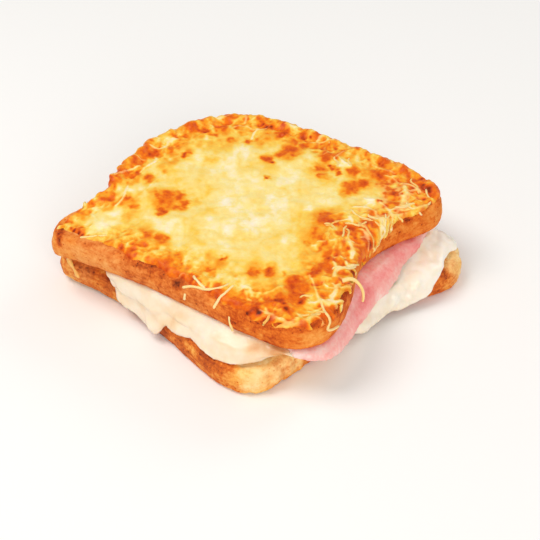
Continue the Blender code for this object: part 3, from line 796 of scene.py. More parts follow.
# painted light: the ham is made paler high up under the upper slice, where it lies in shade
tone += upper * smoothStep(18.5, 21, spots[:, 2] / mm) + rimmed * smoothStep(5, 0.5, toRim)
# painted highlights and a painted shade in a fold, at the listed places
for *place, radius, toneShift in hamValues["tintsAndPaintedLight"]:
    tone += toneShift * nearness(spots, place, radius)
paint(ham, "streaksAndPaintedLight", tone)
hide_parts("ham")
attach(ham, "root")
print("ham built", len(ham.data.polygons))


# Melted cheese

cheeseValues = {
    # rings of the sheet, the share of them on the flat face, and how far the rest goes over the edge
    "rings": 146,
    "flatShare": 0.865,
    "overEdge": 9.0 * mm,
    # the sheet ends in the bread: its last ring is drawn in to this share, this deep under the crust
    "tuckShare": 0.9,
    "tuckDepth": 2.0 * mm,
    # the strands are laid on a square field of heights: its cells and half its width
    "cell": 0.2 * mm,
    "half": 74 * mm,
    "strands": 1700,
    # length and radius in mm, bend and paleness of the strands in the heap and of those that stay whole
    "heaped": {"length": (9, 26), "bend": (0.2, 1.5), "radius": (0.45, 0.7), "tone": (0, 1)},
    "whole": {"length": (6, 17), "bend": (0.2, 1.1), "radius": (0.52, 0.74), "tone": (0.3, 1)},
    # blurring of the heap, of the whole strands and of their tones, in cells
    "blur": {"crisp": 2, "soft": 4.5, "melted": 13, "shown": 1.7, "toneSoft": 6, "toneCrisp": 1.2},
    # from and to direction, how far in from the edge in mm, number of the strands that stay whole
    "shownStrands": [
        (-36, 4, 10, 22), (4, 48, 18, 38), (-62, -36, 10, 14), (50, 180, 8, 34), (-180, -125, 8, 8),
    ],
    # the heap of strands sinks together: its height at most, and the thickness at which that tells
    "heap": 2.6 * mm,
    "heapFrom": 2.4 * mm,
    # nothing of the cheese stands higher over the bread than this
    "ceiling": 3.65 * mm,
    "seed": 5,
    # size, seed and octaves of each noise
    "noise": {
        "wander": (13 * mm, 91, 3), "roll": (9 * mm, 95, 3), "ripple": (2.5 * mm, 99, 2),
        "border": (5 * mm, 103, 3), "lumps": (7 * mm, 107, 3),
        "warpX": (5 * mm, 111, 3), "fineWarpX": (1.9 * mm, 113, 3),
        "warpY": (5 * mm, 117, 3), "fineWarpY": (1.9 * mm, 115, 3),
        "margin": (12 * mm, 119, 2), "mottle": (6 * mm, 121, 3), "dapple": (2.2 * mm, 127, 2),
        "veins": (5 * mm, 131, 2), "broken": (3.2 * mm, 137, 2), "broad": (12 * mm, 141, 2),
    },
    # melting starts and is complete this many mm past the slice's edge, give or take the wander
    "meltedFrom": (-3, -14),
    "meltWander": 5,
    # on the right, from and to these x in mm, this share stays in strands
    "stringyFrom": (24, 44),
    "stringy": 0.55,
    # share of single strands in the relief, and height of the rolls and ripples where it is melted
    "crispShare": 0.55,
    "roll": 0.35 * mm,
    "ripple": 0.10 * mm,
    # the cheese ends over this width in mm, and single strands reach further
    "borderWidth": (1.2, -1.6),
    "borderWander": 1.4,
    "strandWidth": (4.0, 0.5),
    "shownWidth": (4.0, 1.5),
    "shownRise": 0.6,
    # how deep the sheet lies in the bread where there is no cheese
    "bare": 0.55 * mm,
    "farBare": 1.1 * mm,
    # how far over the slice's edge the cheese goes, in mm past the start of its rounding, by direction
    "reachBy": [
        (-180, 3.0), (-160, 1.2), (-145, -0.5), (-137, -2.0), (-130, -1.5), (-122, 0.4), (-114, 1.2),
        (-105, 1.4), (-95, 1.0), (-85, 1.6), (-79, 2.6), (-66, 1.8), (-60, 3.2), (-53, 3.2), (-47, 1.8),
        (-38, 1.4), (-31, 1.6), (-23, 1.6), (-15, 2.6), (-9, 4.0), (2, 7.0), (10, 6.5), (15, 4.0),
        (20, 2.0), (26, 1.2), (36, 1.0), (45, 2.4), (60, 3.5), (90, 4.0), (135, 3.5),
    ],
    # how much further the cheese swells out over the edge, in mm, by direction
    "swellBy": [
        (-180, 1.7), (-162, 1.7), (-150, 1.0), (-138, 0.3), (-120, 0.0), (0, 0.0), (30, 0.4), (45, 1.1),
        (60, 1.2), (72, 1.7), (84, 0.8), (94, 0.7), (101, 1.9), (108, 1.3), (116, 1.7), (126, 2.0),
        (133, 2.7), (142, 2.5), (150, 2.1), (158, 1.6), (170, 2.1),
    ],
    # how far patches of browning are pushed about, in mm
    "warp": 1.3,
    "fineWarp": 0.9,
    "patchGrowth": 1.3,
    # direction in which the browning runs long, and by how much
    "lean": math.radians(-55),
    "long": 1.4,
    # browning from 0 to 1 in the middle: start, and what mottle, dapple, veins and broad patches add
    "middleTones": (0.15, 0.09, 0.04, 0.07, 0.07),
    # the same near the margin: start, and what the back left, mottle and dapple add
    "marginTones": (0.235, -0.04, 0.24, 0.11),
    "keptPale": 0.38,
    # what else browns the cheese, or makes it paler
    "more": {
        "broken": -0.22, "overlap": 0.3, "dapple": 0.3, "edge": 0.08, "hollow": 0.13, "ridge": -0.1,
        "right": 0.08, "backRight": -0.09, "strand": -0.06, "paleStrand": -0.26, "heapTone": 0.12,
        "strandTone": 0.15, "white": -0.9, "burnt": 0.8, "burntTo": 1.05,
    },
    # browning above this level is held back to this share
    "heldFrom": 0.6,
    "held": 0.4,
    # x, y, radius, strength of the browned patches
    "browned": [
        (-31, -16, 1.8, 0.95), (-27, -25, 1.6, 1), (-26, -27, 1.2, 0.75), (-23, -17, 1.6, 1),
        (-30, -19, 3.5, 0.75), (-27, -14, 1.8, 1), (-25, -20, 1.5, 0.8), (-20, -12, 2.2, 0.34),
        (-36, -19, 2, 0.5), (-36, -36, 3, 0.4), (-57, -16, 1.8, 0.85), (-58, -21, 1.8, 0.8),
        (-56, -4, 1.8, 0.85), (-56, 4, 1.8, 0.8), (-52, -10, 1.5, 0.75), (-45, -11, 1.4, 0.8),
        (-44, -26, 1, 0.6), (-38, -29, 1.1, 0.6), (-51, 17, 1.1, 0.7), (-45, -2, 2, 0.35),
        (-44, 37, 2.6, 0.8), (-48, 29, 1.8, 0.8), (-34, 31, 1.5, 0.65), (-29, 33, 1.3, 0.65),
        (-30, 48, 1.6, 1), (-27, 49, 1.4, 1), (-19, 48, 2, 0.9), (-12, 51, 1.7, 0.85),
        (-10, 38, 2.6, 0.95), (-12, 34, 1.8, 0.8), (-14, 28, 1.9, 0.85), (-6, 16, 0.8, 0.95),
        (-7, 55, 1.8, 0.9), (6, 41, 1.8, 0.8), (7, 34, 1.6, 0.85), (10, 38, 1, 0.95), (12, 31, 1.3, 0.75),
        (15, 36, 0.9, 0.8), (1, 51, 1.5, 0.6), (-44, 11, 1.3, 0.95), (-54, 28, 2, 0.7),
        (-33, 14, 1.8, 0.35), (25, 31, 2.4, 0.85), (30, 6, 2.8, 0.95), (30, 2, 3.2, 0.45),
        (33, -7, 6, 0.36), (25, 26, 1.6, 0.8), (27, 35, 1.8, 0.8), (20, 40, 2, 0.75), (25, 44, 1.7, 0.85),
        (31, 43, 1.7, 0.95), (35, 41, 1.4, 0.85), (42, 36, 1.7, 0.95), (47, 29, 1.6, 0.95),
        (36, 53, 1.8, 0.85), (46, 43, 1.6, 0.85), (50, 37, 1.8, 0.75), (42, 18, 1.6, 0.8),
        (46, 13, 1.8, 0.85), (46, 22, 1.4, 0.85), (40, 6, 1.9, 0.8), (49, 5, 2.2, 0.85),
        (48, 48, 3.2, 0.8), (25, -38, 1.7, 0.75), (30, -34, 1.8, 0.9), (36, -31, 0.9, 0.5),
        (43, -34, 2.3, 1), (42, -31, 1.3, 1), (46, -39, 1.9, 1), (49, -41, 1.5, 0.9), (43, -45, 1.6, 0.9),
        (40, -47, 2.2, 0.62), (37, -56, 2.3, 1), (38, -52, 1.8, 0.9), (46, -57, 1.7, 1),
        (45, -53, 1.8, 0.85), (44, -24, 1.3, 0.95), (48, -30, 1.2, 0.7), (41, 0, 1.6, 0.6),
        (46, -11, 1.6, 0.5), (60, -40, 1.8, 0.75), (31, -53, 2.2, 0.75), (31, -10, 1.6, 0.45),
        (58, -24, 1.2, 0.8), (-21, -42, 2, 0.65), (-16, -41, 1.6, 0.75), (-19, -48, 1.6, 0.7),
        (-26, -53, 1.3, 0.9), (-20, -53, 1.8, 0.7), (-11, -53, 2, 0.55), (-7, -54, 1.8, 0.65),
        (-1, -54, 1.8, 0.75), (6, -55, 1.7, 0.95), (8, -53, 1.6, 0.9), (21, -55, 1.8, 0.8),
        (11, -36, 0.8, 0.9), (12, -44, 0.9, 0.6), (-24, 44, 4, 0.42), (-34, 44, 3.4, 0.4),
        (28, -54, 2, 0.75), (-58, -47, 1.8, 0.75), (-53, -42, 1.6, 0.7), (-49, -50, 1.5, 0.85),
    ],
    # from and to direction, how far in from the edge in mm, number of small browned spots
    "freckled": [
        (-180, -130, 10, 8), (-130, -85, 5, 5), (-85, -35, 8, 10), (-35, 50, 10, 18), (50, 130, 12, 34),
        (130, 180, 10, 22),
    ],
    # x, y, radius of burnt specks
    "burnt": [
        (47, -48, 1.4), (45, -46, 0.9), (40, -54, 1.1), (45, -55, 0.9), (37, -56, 1), (47, -58, 0.9),
        (-11, 27, 0.8), (-6, 16, 0.5), (-9, 52, 0.6), (-31, 49, 0.6), (-27, 49, 0.6), (39, 28, 0.9),
        (40, 29, 0.7), (45, 52, 0.8), (48, 48, 0.9), (51, 47, 1.1), (52, 46, 0.8), (53, 40, 0.9),
        (56, 40, 0.6), (57, -23, 0.6), (10, 38, 0.6), (-52, -51, 0.8), (-50, -51.4, 0.9), (-47, -52, 0.9),
        (-45, -52.4, 0.9), (-42, -52.6, 0.8),
    ],
    # x, y, radius of creamy white places; the one at (-41, -45) is partly a painted highlight
    "white": [
        (-41, -45, 6.5), (-42, -37, 3), (25, -15, 2.4), (35, -11, 1.4), (28, -47, 1.8), (36, 27, 2.4),
        (-47, -21, 1.8), (-44, 27, 1.5), (-19, 52, 1.6), (13, 42, 1.6), (-8, -20, 2), (20, 8, 2),
    ],
    # x, y, radius of places that stay pale
    "pale": [
        (-40, -46, 9), (0, -12, 20), (-6, 6, 16), (14, 16, 13), (-32, 2, 12), (26, -22, 9), (14, -24, 9),
        (24, -44, 4), (-8, -40, 8), (-20, -34, 8), (4, -45, 6), (16, -46, 4), (-32, -42, 6), (-42, -44, 4),
        (36, 27, 4), (17, 49, 4), (-53, -17, 3), (-8, 12, 14), (54, -42, 5), (47, -52, 3),
    ],
    # bends, radius and paleness of strands that lie in the melted cheese
    "drawn": [
        ([(33, 18), (36, 21), (40, 22), (46, 18), (50, 16), (52, 16)], 0.62, 0.9),
        ([(39, 28), (44, 26), (48, 23), (51, 21), (54, 20), (53, 17)], 0.6, 0.95),
        ([(48, 6), (53, 9), (56, 11)], 0.55, 0.9), ([(50, -18), (52, -14), (55, -7)], 0.7, 1),
        ([(41, 44), (45, 45), (50, 43)], 0.75, 0.9), ([(49, 28), (52, 31), (55, 35), (56, 39)], 0.6, 0.85),
        ([(39, 45), (45, 40), (47, 33), (49, 26)], 0.85, 0.75), ([(31, 45), (35, 46), (39, 44)], 0.6, 0.8),
        ([(22, 50), (29, 48), (34, 50)], 0.7, 0.75), ([(43, 0), (47, -4), (50, -9)], 0.8, 0.85),
        ([(40, 11), (44, 10), (47, 7), (46, 3)], 0.6, 0.85),
        ([(40, -51), (44, -53), (49, -53), (52, -52), (54, -47)], 0.6, 0.8),
        ([(50, -55), (53, -53), (56, -49), (57, -44)], 0.9, 0.7),
        ([(54, -37), (57, -34), (56, -28)], 0.6, 0.85), ([(55, -32), (59, -35), (61, -37)], 0.6, 0.85),
        ([(42, -26), (47, -30), (52, -35), (54, -37)], 0.55, 0.85),
        ([(46, -15), (49, -18), (51, -23)], 0.8, 0.85), ([(44, -36), (48, -38), (52, -39)], 0.5, 0.7),
        ([(4, -55), (4, -53), (7, -52)], 0.5, 0.8), ([(-36, -40), (-38, -34), (-40, -29)], 0.45, 0.75),
        ([(-40, -21), (-41, -16), (-42, -11), (-41, -3)], 0.5, 0.65),
        ([(39, 23), (44, 19), (48, 15)], 0.5, 0.8), ([(54, -25), (57, -26), (59, -23)], 0.6, 0.8),
        ([(-23, 53), (-19, 53), (-16, 55)], 0.8, 0.7), ([(8, 46), (13, 43), (18, 42)], 0.7, 0.7),
    ],
    "tones": [
        (0.0, (252, 240, 212)), (0.1, (249, 227, 148)), (0.24, (249, 206, 86)), (0.42, (247, 162, 34)),
        (0.6, (238, 117, 10)), (0.78, (210, 76, 6)), (1.0, (92, 28, 8)),
    ],
    # colour of pale strands, and the share of it at most
    "strandTone": (252, 216, 146),
    "strandShare": 0.82,
}


def blurred(field, kind):
    fy, fx = np.fft.fftfreq(field.shape[0]), np.fft.rfftfreq(field.shape[1])
    kept = np.exp(-2 * (np.pi * cheeseValues["blur"][kind]) ** 2 * (fy[:, None] ** 2 + fx[None, :] ** 2))
    return np.fft.irfft2(np.fft.rfft2(field) * kept, field.shape)


def smoothPath(points, steps):
    points = np.array(points, float)
    points = np.concatenate([2 * points[:1] - points[1:2], points, 2 * points[-1:] - points[-2:-1]])
    t = np.linspace(0, 1, steps, endpoint=False)[:, None]
    found = [curveBetween(*points[k: k + 4], t) for k in range(len(points) - 3)]
    return np.concatenate(found + [points[-2:-1]])


def strandPath(start, heading, length, bend, step=0.3 * mm):
    steps = max(6, int(length / step))
    t = np.linspace(0, 1, steps)
    turned = heading + bend * np.sin(t * draw.uniform(1.5, 4.5) + draw.uniform(0, 6))
    turned += 0.4 * bend * np.sin(t * 9 + draw.uniform(0, 6))
    return start + np.cumsum(np.stack([np.cos(turned), np.sin(turned)], -1) * (length / steps), axis=0)


def layStrand(height, tone, path, radius, strandTone, lift=0.55, stacked=1.0, window=9):
    # Lays a round strand on what is there already, with stacked saying how much it is lifted by that
    cell, half = cheeseValues["cell"], cheeseValues["half"]
    grid = (path + half) / cell
    middle = np.round(grid).astype(int)
    wide = int(math.ceil(radius / cell))
    around = range(-wide, wide + 1)
    offsets = np.array([(a, b) for a in around for b in around if a * a + b * b <= (wide + 0.5) ** 2])
    size = height.shape[0] - 1
    cells = np.clip(middle[:, None] + offsets[None], 0, size)
    gap = np.linalg.norm((cells - grid[:, None]) * cell, axis=2)
    profile = np.sqrt(np.maximum(radius ** 2 - gap ** 2, 0))
    below = np.pad(height[tuple(np.clip(middle, 0, size).T)], window // 2, "edge")
    below = np.convolve(below, np.ones(window) / window, "valid")
    ends = np.minimum(np.arange(len(path)), np.arange(len(path))[::-1]) / 3
    level = stacked * below[:, None] + (lift * radius + profile) * np.clip(ends, 0.35, 1)[:, None]
    inside = gap <= radius
    rows, columns, level = cells[..., 0][inside], cells[..., 1][inside], level[inside]
    higher = level > height[rows, columns]
    np.maximum.at(height, (rows, columns), level)
    tone[rows[higher], columns[higher]] = strandTone


def drawnStrand(start, heading, kind):
    path = strandPath(start, heading, draw.uniform(*kind["length"]) * mm, draw.uniform(*kind["bend"]))
    return path, draw.uniform(*kind["radius"]) * mm, draw.uniform(*kind["tone"])


draw = np.random.default_rng(cheeseValues["seed"])
sizeCells = int(2 * cheeseValues["half"] / cheeseValues["cell"])
height = np.zeros((sizeCells, sizeCells))
tone = np.full((sizeCells, sizeCells), 0.4)
for k in range(cheeseValues["strands"]):
    angle = draw.uniform(-np.pi, np.pi)
    start = towards(angle, edgeAt(angle) * math.sqrt(draw.uniform(0, 1.05)))
    layStrand(height, tone, *drawnStrand(start, draw.uniform(0, 2 * np.pi), cheeseValues["heaped"]))
shown = np.zeros((sizeCells, sizeCells))
shownTone = np.zeros((sizeCells, sizeCells))
for low, high, inwards, count in cheeseValues["shownStrands"]:
    for k in range(count):
        angle = math.radians(draw.uniform(low, high))
        start = towards(angle, edgeAt(angle) - draw.uniform(-1.5, inwards) * mm)
        strand = drawnStrand(start, angle + draw.normal(0, 1.1), cheeseValues["whole"])
        layStrand(shown, shownTone, *strand, lift=0.1, stacked=0.45)
for bends, radius, paleness in cheeseValues["drawn"]:
    layStrand(shown, shownTone, smoothPath(bends, 12) * mm, radius * mm, paleness, lift=0.25, stacked=0.3)
print("strands laid, up to", *(round(float(field.max() / mm), 2) for field in (height, shown)), "mm")

height = cheeseValues["heap"] * (1 - np.exp(-height / cheeseValues["heapFrom"]))
crisp, soft, melted = (blurred(height, kind) for kind in ("crisp", "soft", "melted"))
shown, shownTone = (blurred(field, "shown") for field in (shown, shownTone))
toneSoft, toneCrisp = (blurred(tone, kind) for kind in ("toneSoft", "toneCrisp"))


def sampled(field, x, y):
    cell, half = cheeseValues["cell"], cheeseValues["half"]
    gx, gy = (np.clip((v + half) / cell, 0, sizeCells - 1.001) for v in (x, y))
    i, j = gx.astype(int), gy.astype(int)
    a, b = gx - i, gy - j
    return (field[i, j] * (1 - a) * (1 - b) + field[i + 1, j] * a * (1 - b)
            + field[i, j + 1] * (1 - a) * b + field[i + 1, j + 1] * a * b)


def cheeseNoise(kind, x, y):
    return fractal(np.stack([x, y, np.zeros(len(x))], -1), *cheeseValues["noise"][kind])


def cheeseHeight(x, y):
    # Melted smooth in the middle, still in strands towards the edge and on the right
    values, past = cheeseValues, pastEdge(x, y)
    crispHere, softHere, shownHere = (sampled(field, x, y) for field in (crisp, soft, shown))
    melt = smoothStep(*values["meltedFrom"], past / mm + values["meltWander"] * cheeseNoise("wander", x, y))
    melt *= 1 - values["stringy"] * smoothStep(*values["stringyFrom"], x / mm)
    rise = (values["crispShare"] * crispHere + (1 - values["crispShare"]) * softHere) * (1 - melt)
    rise += softHere * melt * (1 - melt) + sampled(melted, x, y) * melt * melt
    for kind in ("roll", "ripple"):
        rise += melt * values[kind] * cheeseNoise(kind, x, y)
    rise = rise * 0.9 + 0.12 * mm
    rise = rise * (1 - 0.5 * smoothStep(-3, 6, past / mm)) + values["shownRise"] * shownHere

    # How much of the bread is covered
    border = past / mm - byDirection(values["reachBy"], np.arctan2(y, x))
    border -= values["borderWander"] * cheeseNoise("border", x, y)
    strand = smoothStep(1.6 * mm, 2.6 * mm, crispHere) * smoothStep(*values["strandWidth"], border)
    shownStrand = smoothStep(0.25 * mm, 0.5 * mm, shownHere) * smoothStep(*values["shownWidth"], border)
    cover = np.maximum(smoothStep(*values["borderWidth"], border), strand * 0.8)
    cover = np.maximum(cover, shownStrand * 0.85)
    bare = values["bare"] * (1 - cover) + values["farBare"] * smoothStep(0.4, 0.0, cover)
    return rise * cover - bare, melt, past


share, angle, quads, rim = squareGrid(cheeseValues["rings"])
nx, ny = outwards(upperForm, angle)
slope = nx * np.cos(angle) + ny * np.sin(angle)
edge = radiusOf(upperForm["edge"], angle)
flatShare = cheeseValues["flatShare"]
overEdge = (share - flatShare) / (1 - flatShare) * cheeseValues["overEdge"] / slope
reach = np.where(share < flatShare, edge * share / flatShare, edge + overEdge)
sheetX, sheetY = reach * np.cos(angle), reach * np.sin(angle)
rise, melt, past = cheeseHeight(sheetX, sheetY)
swellOut = byDirection(cheeseValues["swellBy"], angle) * mm * (1 + 0.4 * cheeseNoise("lumps", sheetX, sheetY))
swellOut *= smoothStep(-4 * mm, 1.5 * mm, past) * smoothStep(9.5 * mm, 6 * mm, past)
rise = rise + swellOut * smoothStep(-0.4 * mm, 0.3 * mm, rise)
rise = np.minimum(rise, cheeseValues["ceiling"])

warpX, warpY = (
    v / mm + cheeseValues["warp"] * cheeseNoise("warp" + side, sheetX, sheetY)
    + cheeseValues["fineWarp"] * cheeseNoise("fineWarp" + side, sheetX, sheetY)
    for side, v in (("X", sheetX), ("Y", sheetY))
)
freckles = []
for low, high, inwards, count in cheeseValues["freckled"]:
    for k in range(count):
        heading = math.radians(draw.uniform(low, high))
        spot = towards(heading, edgeAt(heading) / mm - abs(draw.normal(0, 0.5)) * inwards)
        freckles.append((*spot, draw.uniform(0.7, 1.8), draw.uniform(0.4, 0.75)))


def leaning(x, y):
    alongX, alongY = math.cos(cheeseValues["lean"]), math.sin(cheeseValues["lean"])
    return (x * alongX + y * alongY) / cheeseValues["long"], y * alongX - x * alongY


def patchy(patches):
    # Browned patches, each with a core and a wider, weaker ring
    found = np.zeros(len(sheetX))
    for x, y, radius, strength in patches:
        along, across = leaning(warpX - x, warpY - y)
        away = along ** 2 + across ** 2
        near = away < (6 * radius) ** 2
        away = away[near] / (cheeseValues["patchGrowth"] * radius) ** 2
        found[near] = np.maximum(found[near], strength * (0.62 * np.exp(-away) + 0.38 * np.exp(-away * 0.27)))
    return found


def blots(places):
    found = np.zeros(len(sheetX))
    for x, y, radius in places:
        found = np.maximum(found, np.exp(-(np.hypot(warpX - x, warpY - y) / radius) ** 2))
    return found


# How brown each point is, from its place, the patches and noise
kept, white = blots(cheeseValues["pale"]), blots(cheeseValues["white"])
broken, mottle, dapple, veins, broad = (
    cheeseNoise(kind, *leaning(sheetX, sheetY)) for kind in ("broken", "mottle", "dapple", "veins", "broad")
)
widened = cheeseNoise("margin", sheetX, sheetY) + smoothStep(18, 40, sheetX / mm)
margin = smoothStep(-26, -6, past / mm + 3 * widened)
start, fromMottle, fromDapple, fromVeins, fromBroad = cheeseValues["middleTones"]
middleTone = start + fromMottle * mottle + fromDapple * dapple
middleTone += fromVeins * np.clip(1 - np.abs(veins) * 2.2, 0, 1) + fromBroad * broad
start, fromBackLeft, fromMottle, fromDapple = cheeseValues["marginTones"]
backLeft = smoothStep(100, 130, np.abs(np.degrees(np.arctan2(sheetY, sheetX))))
marginTone = start + fromBackLeft * backLeft + fromDapple * dapple
marginTone += fromMottle * smoothStep(-0.5, 0.8, mottle + 0.3 * dapple)
ground = (middleTone * (1 - margin) + marginTone * margin) * (1 - cheeseValues["keptPale"] * kept)

more = cheeseValues["more"]
brown = np.maximum(patchy(cheeseValues["browned"]), patchy(freckles) * (1 - 0.75 * kept))
brown *= 1 + more["broken"] * smoothStep(-0.1, 0.7, broken)
brown = np.maximum(brown, ground) + more["overlap"] * np.minimum(brown, ground)
brown *= 1 + more["dapple"] * dapple * smoothStep(0.35, 0.6, brown)
brown += more["edge"] * smoothStep(-2.0, 2.5, past / mm)

# Strands that stay whole are paler, hollows between strands browner
onStrand = smoothStep(0.22, 0.5, sampled(shown, sheetX, sheetY) / mm)
strandTone = sampled(shownTone, sheetX, sheetY)
relief = (sampled(crisp, sheetX, sheetY) - sampled(soft, sheetX, sheetY)) / mm * (1 - melt)
brown += more["hollow"] * smoothStep(0.02, -0.3, relief) * margin
brown += more["ridge"] * smoothStep(0.05, 0.4, relief)
onRight = smoothStep(18, 34, sheetX / mm) * margin * (1 - kept) * (1 - onStrand)
brown += (more["right"] + more["backRight"] * smoothStep(5, 25, sheetY / mm)) * onRight
brown += onStrand * (more["strand"] + more["paleStrand"] * smoothStep(0.45, 0.95, strandTone))
brown += melt * more["heapTone"] * (sampled(toneSoft, sheetX, sheetY) - 0.5)
brown += (1 - melt) * (1 - onStrand) * more["strandTone"] * (0.5 - sampled(toneCrisp, sheetX, sheetY))
# creamy white places make the cheese pale, and at the left front this is a painted highlight as well
brown = brown * (1 + more["white"] * white)
over = brown - cheeseValues["heldFrom"]
brown = np.where(over > 0, cheeseValues["heldFrom"] + over * cheeseValues["held"], brown)
for x, y, radius in cheeseValues["burnt"]:
    near = np.exp(-((sheetX / mm - x) ** 2 + (sheetY / mm - y) ** 2) / radius ** 2)
    brown += more["burnt"] * (more["burntTo"] - brown) * near
pale = onStrand * smoothStep(0.5, 1.0, strandTone) * smoothStep(0.85, 0.5, brown)
farCorner = smoothStep(28, 40, sheetX / mm) * smoothStep(10, 24, sheetY / mm)
pale = np.maximum(pale, 0.5 * farCorner * smoothStep(0.6, 0.4, brown) * smoothStep(-0.5, 0.5, dapple))
coarse = (0.35 + 0.65 * np.maximum(1 - melt, smoothStep(0.3, 0.55, brown))) * (1 - 0.8 * white)

cheesePaint = Paint("grilledCheese", roughness=0.42, soft=0.15, softRadius=(1, 0.6, 0.2), softScale=1.2 * mm,
                    shine=0.17)
cheeseGrain = cheesePaint.noise(1.1 * mm, detail=3.0, rough=0.6)
cheeseFlecks = cheesePaint.noise(2.8 * mm, detail=3.0, rough=0.6)
flecked = cheesePaint.spread(cheeseGrain, 0.3, 0.7, -0.045, 0.045)
flecked = cheesePaint.varied(flecked, [(cheeseFlecks, 0.5, 0.8, 0.0, 0.15)])
flecked = cheesePaint.maths("MULTIPLY", flecked, cheesePaint.attribute("coarse"))
cheeseLevel = cheesePaint.maths("ADD", cheesePaint.attribute("brown"), flecked)
cheeseColour = cheesePaint.ramp(cheeseLevel, cheeseValues["tones"])
paleShare = cheesePaint.maths("MULTIPLY", cheesePaint.attribute("pale"), cheeseValues["strandShare"])
cheesePaint.colour(cheesePaint.mix(paleShare, cheeseColour, linear(*cheeseValues["strandTone"])))
cheesePaint.bump([(cheesePaint.noise(0.9 * mm), 0.12 * mm, 0.5), (cheesePaint.noise(3 * mm), 0.3 * mm, 0.35)])

verts = onCrust(upperForm, sheetX, sheetY, rise)
tuckShare, tuckDepth = cheeseValues["tuckShare"], cheeseValues["tuckDepth"]
tucked = onCrust(upperForm, sheetX[rim] * tuckShare, sheetY[rim] * tuckShare, -tuckDepth)
tuckedFaces = strip(len(verts) + np.arange(len(rim)), rim)
cheese = meshObject("cheeseTopping", np.concatenate([verts, tucked]), np.concatenate([quads, tuckedFaces]),
                    cheesePaint.material)
for layer, values in (("brown", brown), ("pale", pale), ("coarse", coarse)):
    paint(cheese, layer, np.concatenate([values, values[rim]]))
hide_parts("grilled_cheese")
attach(cheese, "root")
print("cheese built", len(cheese.data.polygons), "top", round(float(verts[:, 2].max() / mm), 2))


# Loose shreds on the cheese

shredValues = {
    "count": 24,
    "sides": 6,
    "seed": 23,
    # length and radius in mm, bend and browning of the shreds
    "length": (6, 14),
    "bend": (0.2, 1.0),
    "radius": (0.44, 0.58),
    "tone": (0.1, 0.5),
    "namedRadius": 0.56 * mm,
    "namedTone": (0.05, 0.25),
    # x, y of the bends of the shreds that stand out
    "named": [
        [(54, -36), (58, -40), (62, -43), (64, -46), (66, -45), (68, -42)],
        [(7, -57), (11, -55), (17, -54), (21, -52), (22, -48)], [(8, -51), (11, -53), (16, -54)],
        [(24, -60), (24, -56), (24, -52), (24, -48)], [(32, -60), (34, -63), (37, -67)],
        [(-45, -54), (-40, -52), (-35, -49)], [(9, -59), (9, -62)], [(46, 22), (50, 16), (54, 12)],
    ],
    # x, y, z of the bends of the shred that hangs free over the ham, and its sides, radii and tone
    "hanging": [
        (55.5, -24, 35.2), (57.6, -22, 35.8), (59.5, -21, 35), (61.6, -20.7, 33), (62.6, -20.5, 30),
        (62.4, -20.2, 26.4),
    ],
    "hangingSides": 8,
    "hangingFrom": 0.78 * mm,
    "hangingTo": 0.5 * mm,
    "hangingTone": 0.22,
    "tones": [
        (0.0, (254, 230, 172)), (0.3, (252, 212, 128)), (0.55, (248, 176, 76)), (0.8, (230, 116, 32)),
        (1.0, (150, 52, 14)),
    ],
}
dripValues = {
    # direction at its top and bottom, on the lower slice's crust
    "from": -138.2,
    "to": -135.6,
    "top": 11.6 * mm,
    "bottom": 4.2 * mm,
    "out": 0.3 * mm,
    "radius": 0.95 * mm,
    "sides": 8,
    "steps": 14,
    "tone": 0.4,
}
shredPaint = Paint("cheeseShreds", roughness=0.42, soft=0.3, softRadius=(1, 0.7, 0.35), shine=0.3)
shredPaint.colour(shredPaint.ramp(shredPaint.attribute("brown"), shredValues["tones"]))
shredVerts, shredFaces, shredTones = [], [], []


def addShred(path, radii, sides, tone):
    # A closed tube along the path, with its cross sections kept upright
    along = np.gradient(path, axis=0)
    along /= np.linalg.norm(along, axis=1)[:, None] + 1e-12
    side = np.cross(along, np.array((0.13, 0.21, 1.0)))
    side /= np.linalg.norm(side, axis=1)[:, None] + 1e-12
    up = np.cross(side, along)
    turns = np.linspace(0, 2 * np.pi, sides, endpoint=False)[None, :, None]
    around = np.cos(turns) * side[:, None] + np.sin(turns) * up[:, None]
    rings = path[:, None] + radii[:, None, None] * around
    index = sum(map(len, shredVerts)) + np.arange(len(path) * sides).reshape(-1, sides)
    faces = np.concatenate([strip(*pair) for pair in zip(index, index[1:])])
    cap = np.array([(0, k, k + 1, k + 2) for k in range(1, sides - 2, 2)])
    shredVerts.append(rings.reshape(-1, 3))
    shredFaces.append(np.concatenate([faces[:, ::-1], index[0][::-1][cap], index[-1][cap]]))
    shredTones.append(np.full(len(path) * sides, tone))


draw = np.random.default_rng(shredValues["seed"])
shredPaths = []
for bends in shredValues["named"]:
    path = smoothPath(bends, 10) * mm
    shredPaths.append((path, shredValues["namedRadius"], draw.uniform(*shredValues["namedTone"])))
for k in range(shredValues["count"]):
    angle = math.radians(draw.choice([draw.uniform(-52, 48), draw.uniform(48, 200)], p=[0.85, 0.15]))
    start = towards(angle, edgeAt(angle) + draw.uniform(-14, 1) * mm)
    heading, length = draw.uniform(0, 2 * np.pi), draw.uniform(*shredValues["length"]) * mm
    path = strandPath(start, heading, length, draw.uniform(*shredValues["bend"]))[::2]
    limit = byDirection(cheeseValues["reachBy"], np.arctan2(path[:, 1], path[:, 0])) * mm + 1.5 * mm
    path = path[pastEdge(*path.T) < limit]
    if len(path) > 8 and pastEdge(*path.T).min() > -20 * mm:
        radius = draw.uniform(*shredValues["radius"]) * mm
        shredPaths.append((path, radius, draw.uniform(*shredValues["tone"])))

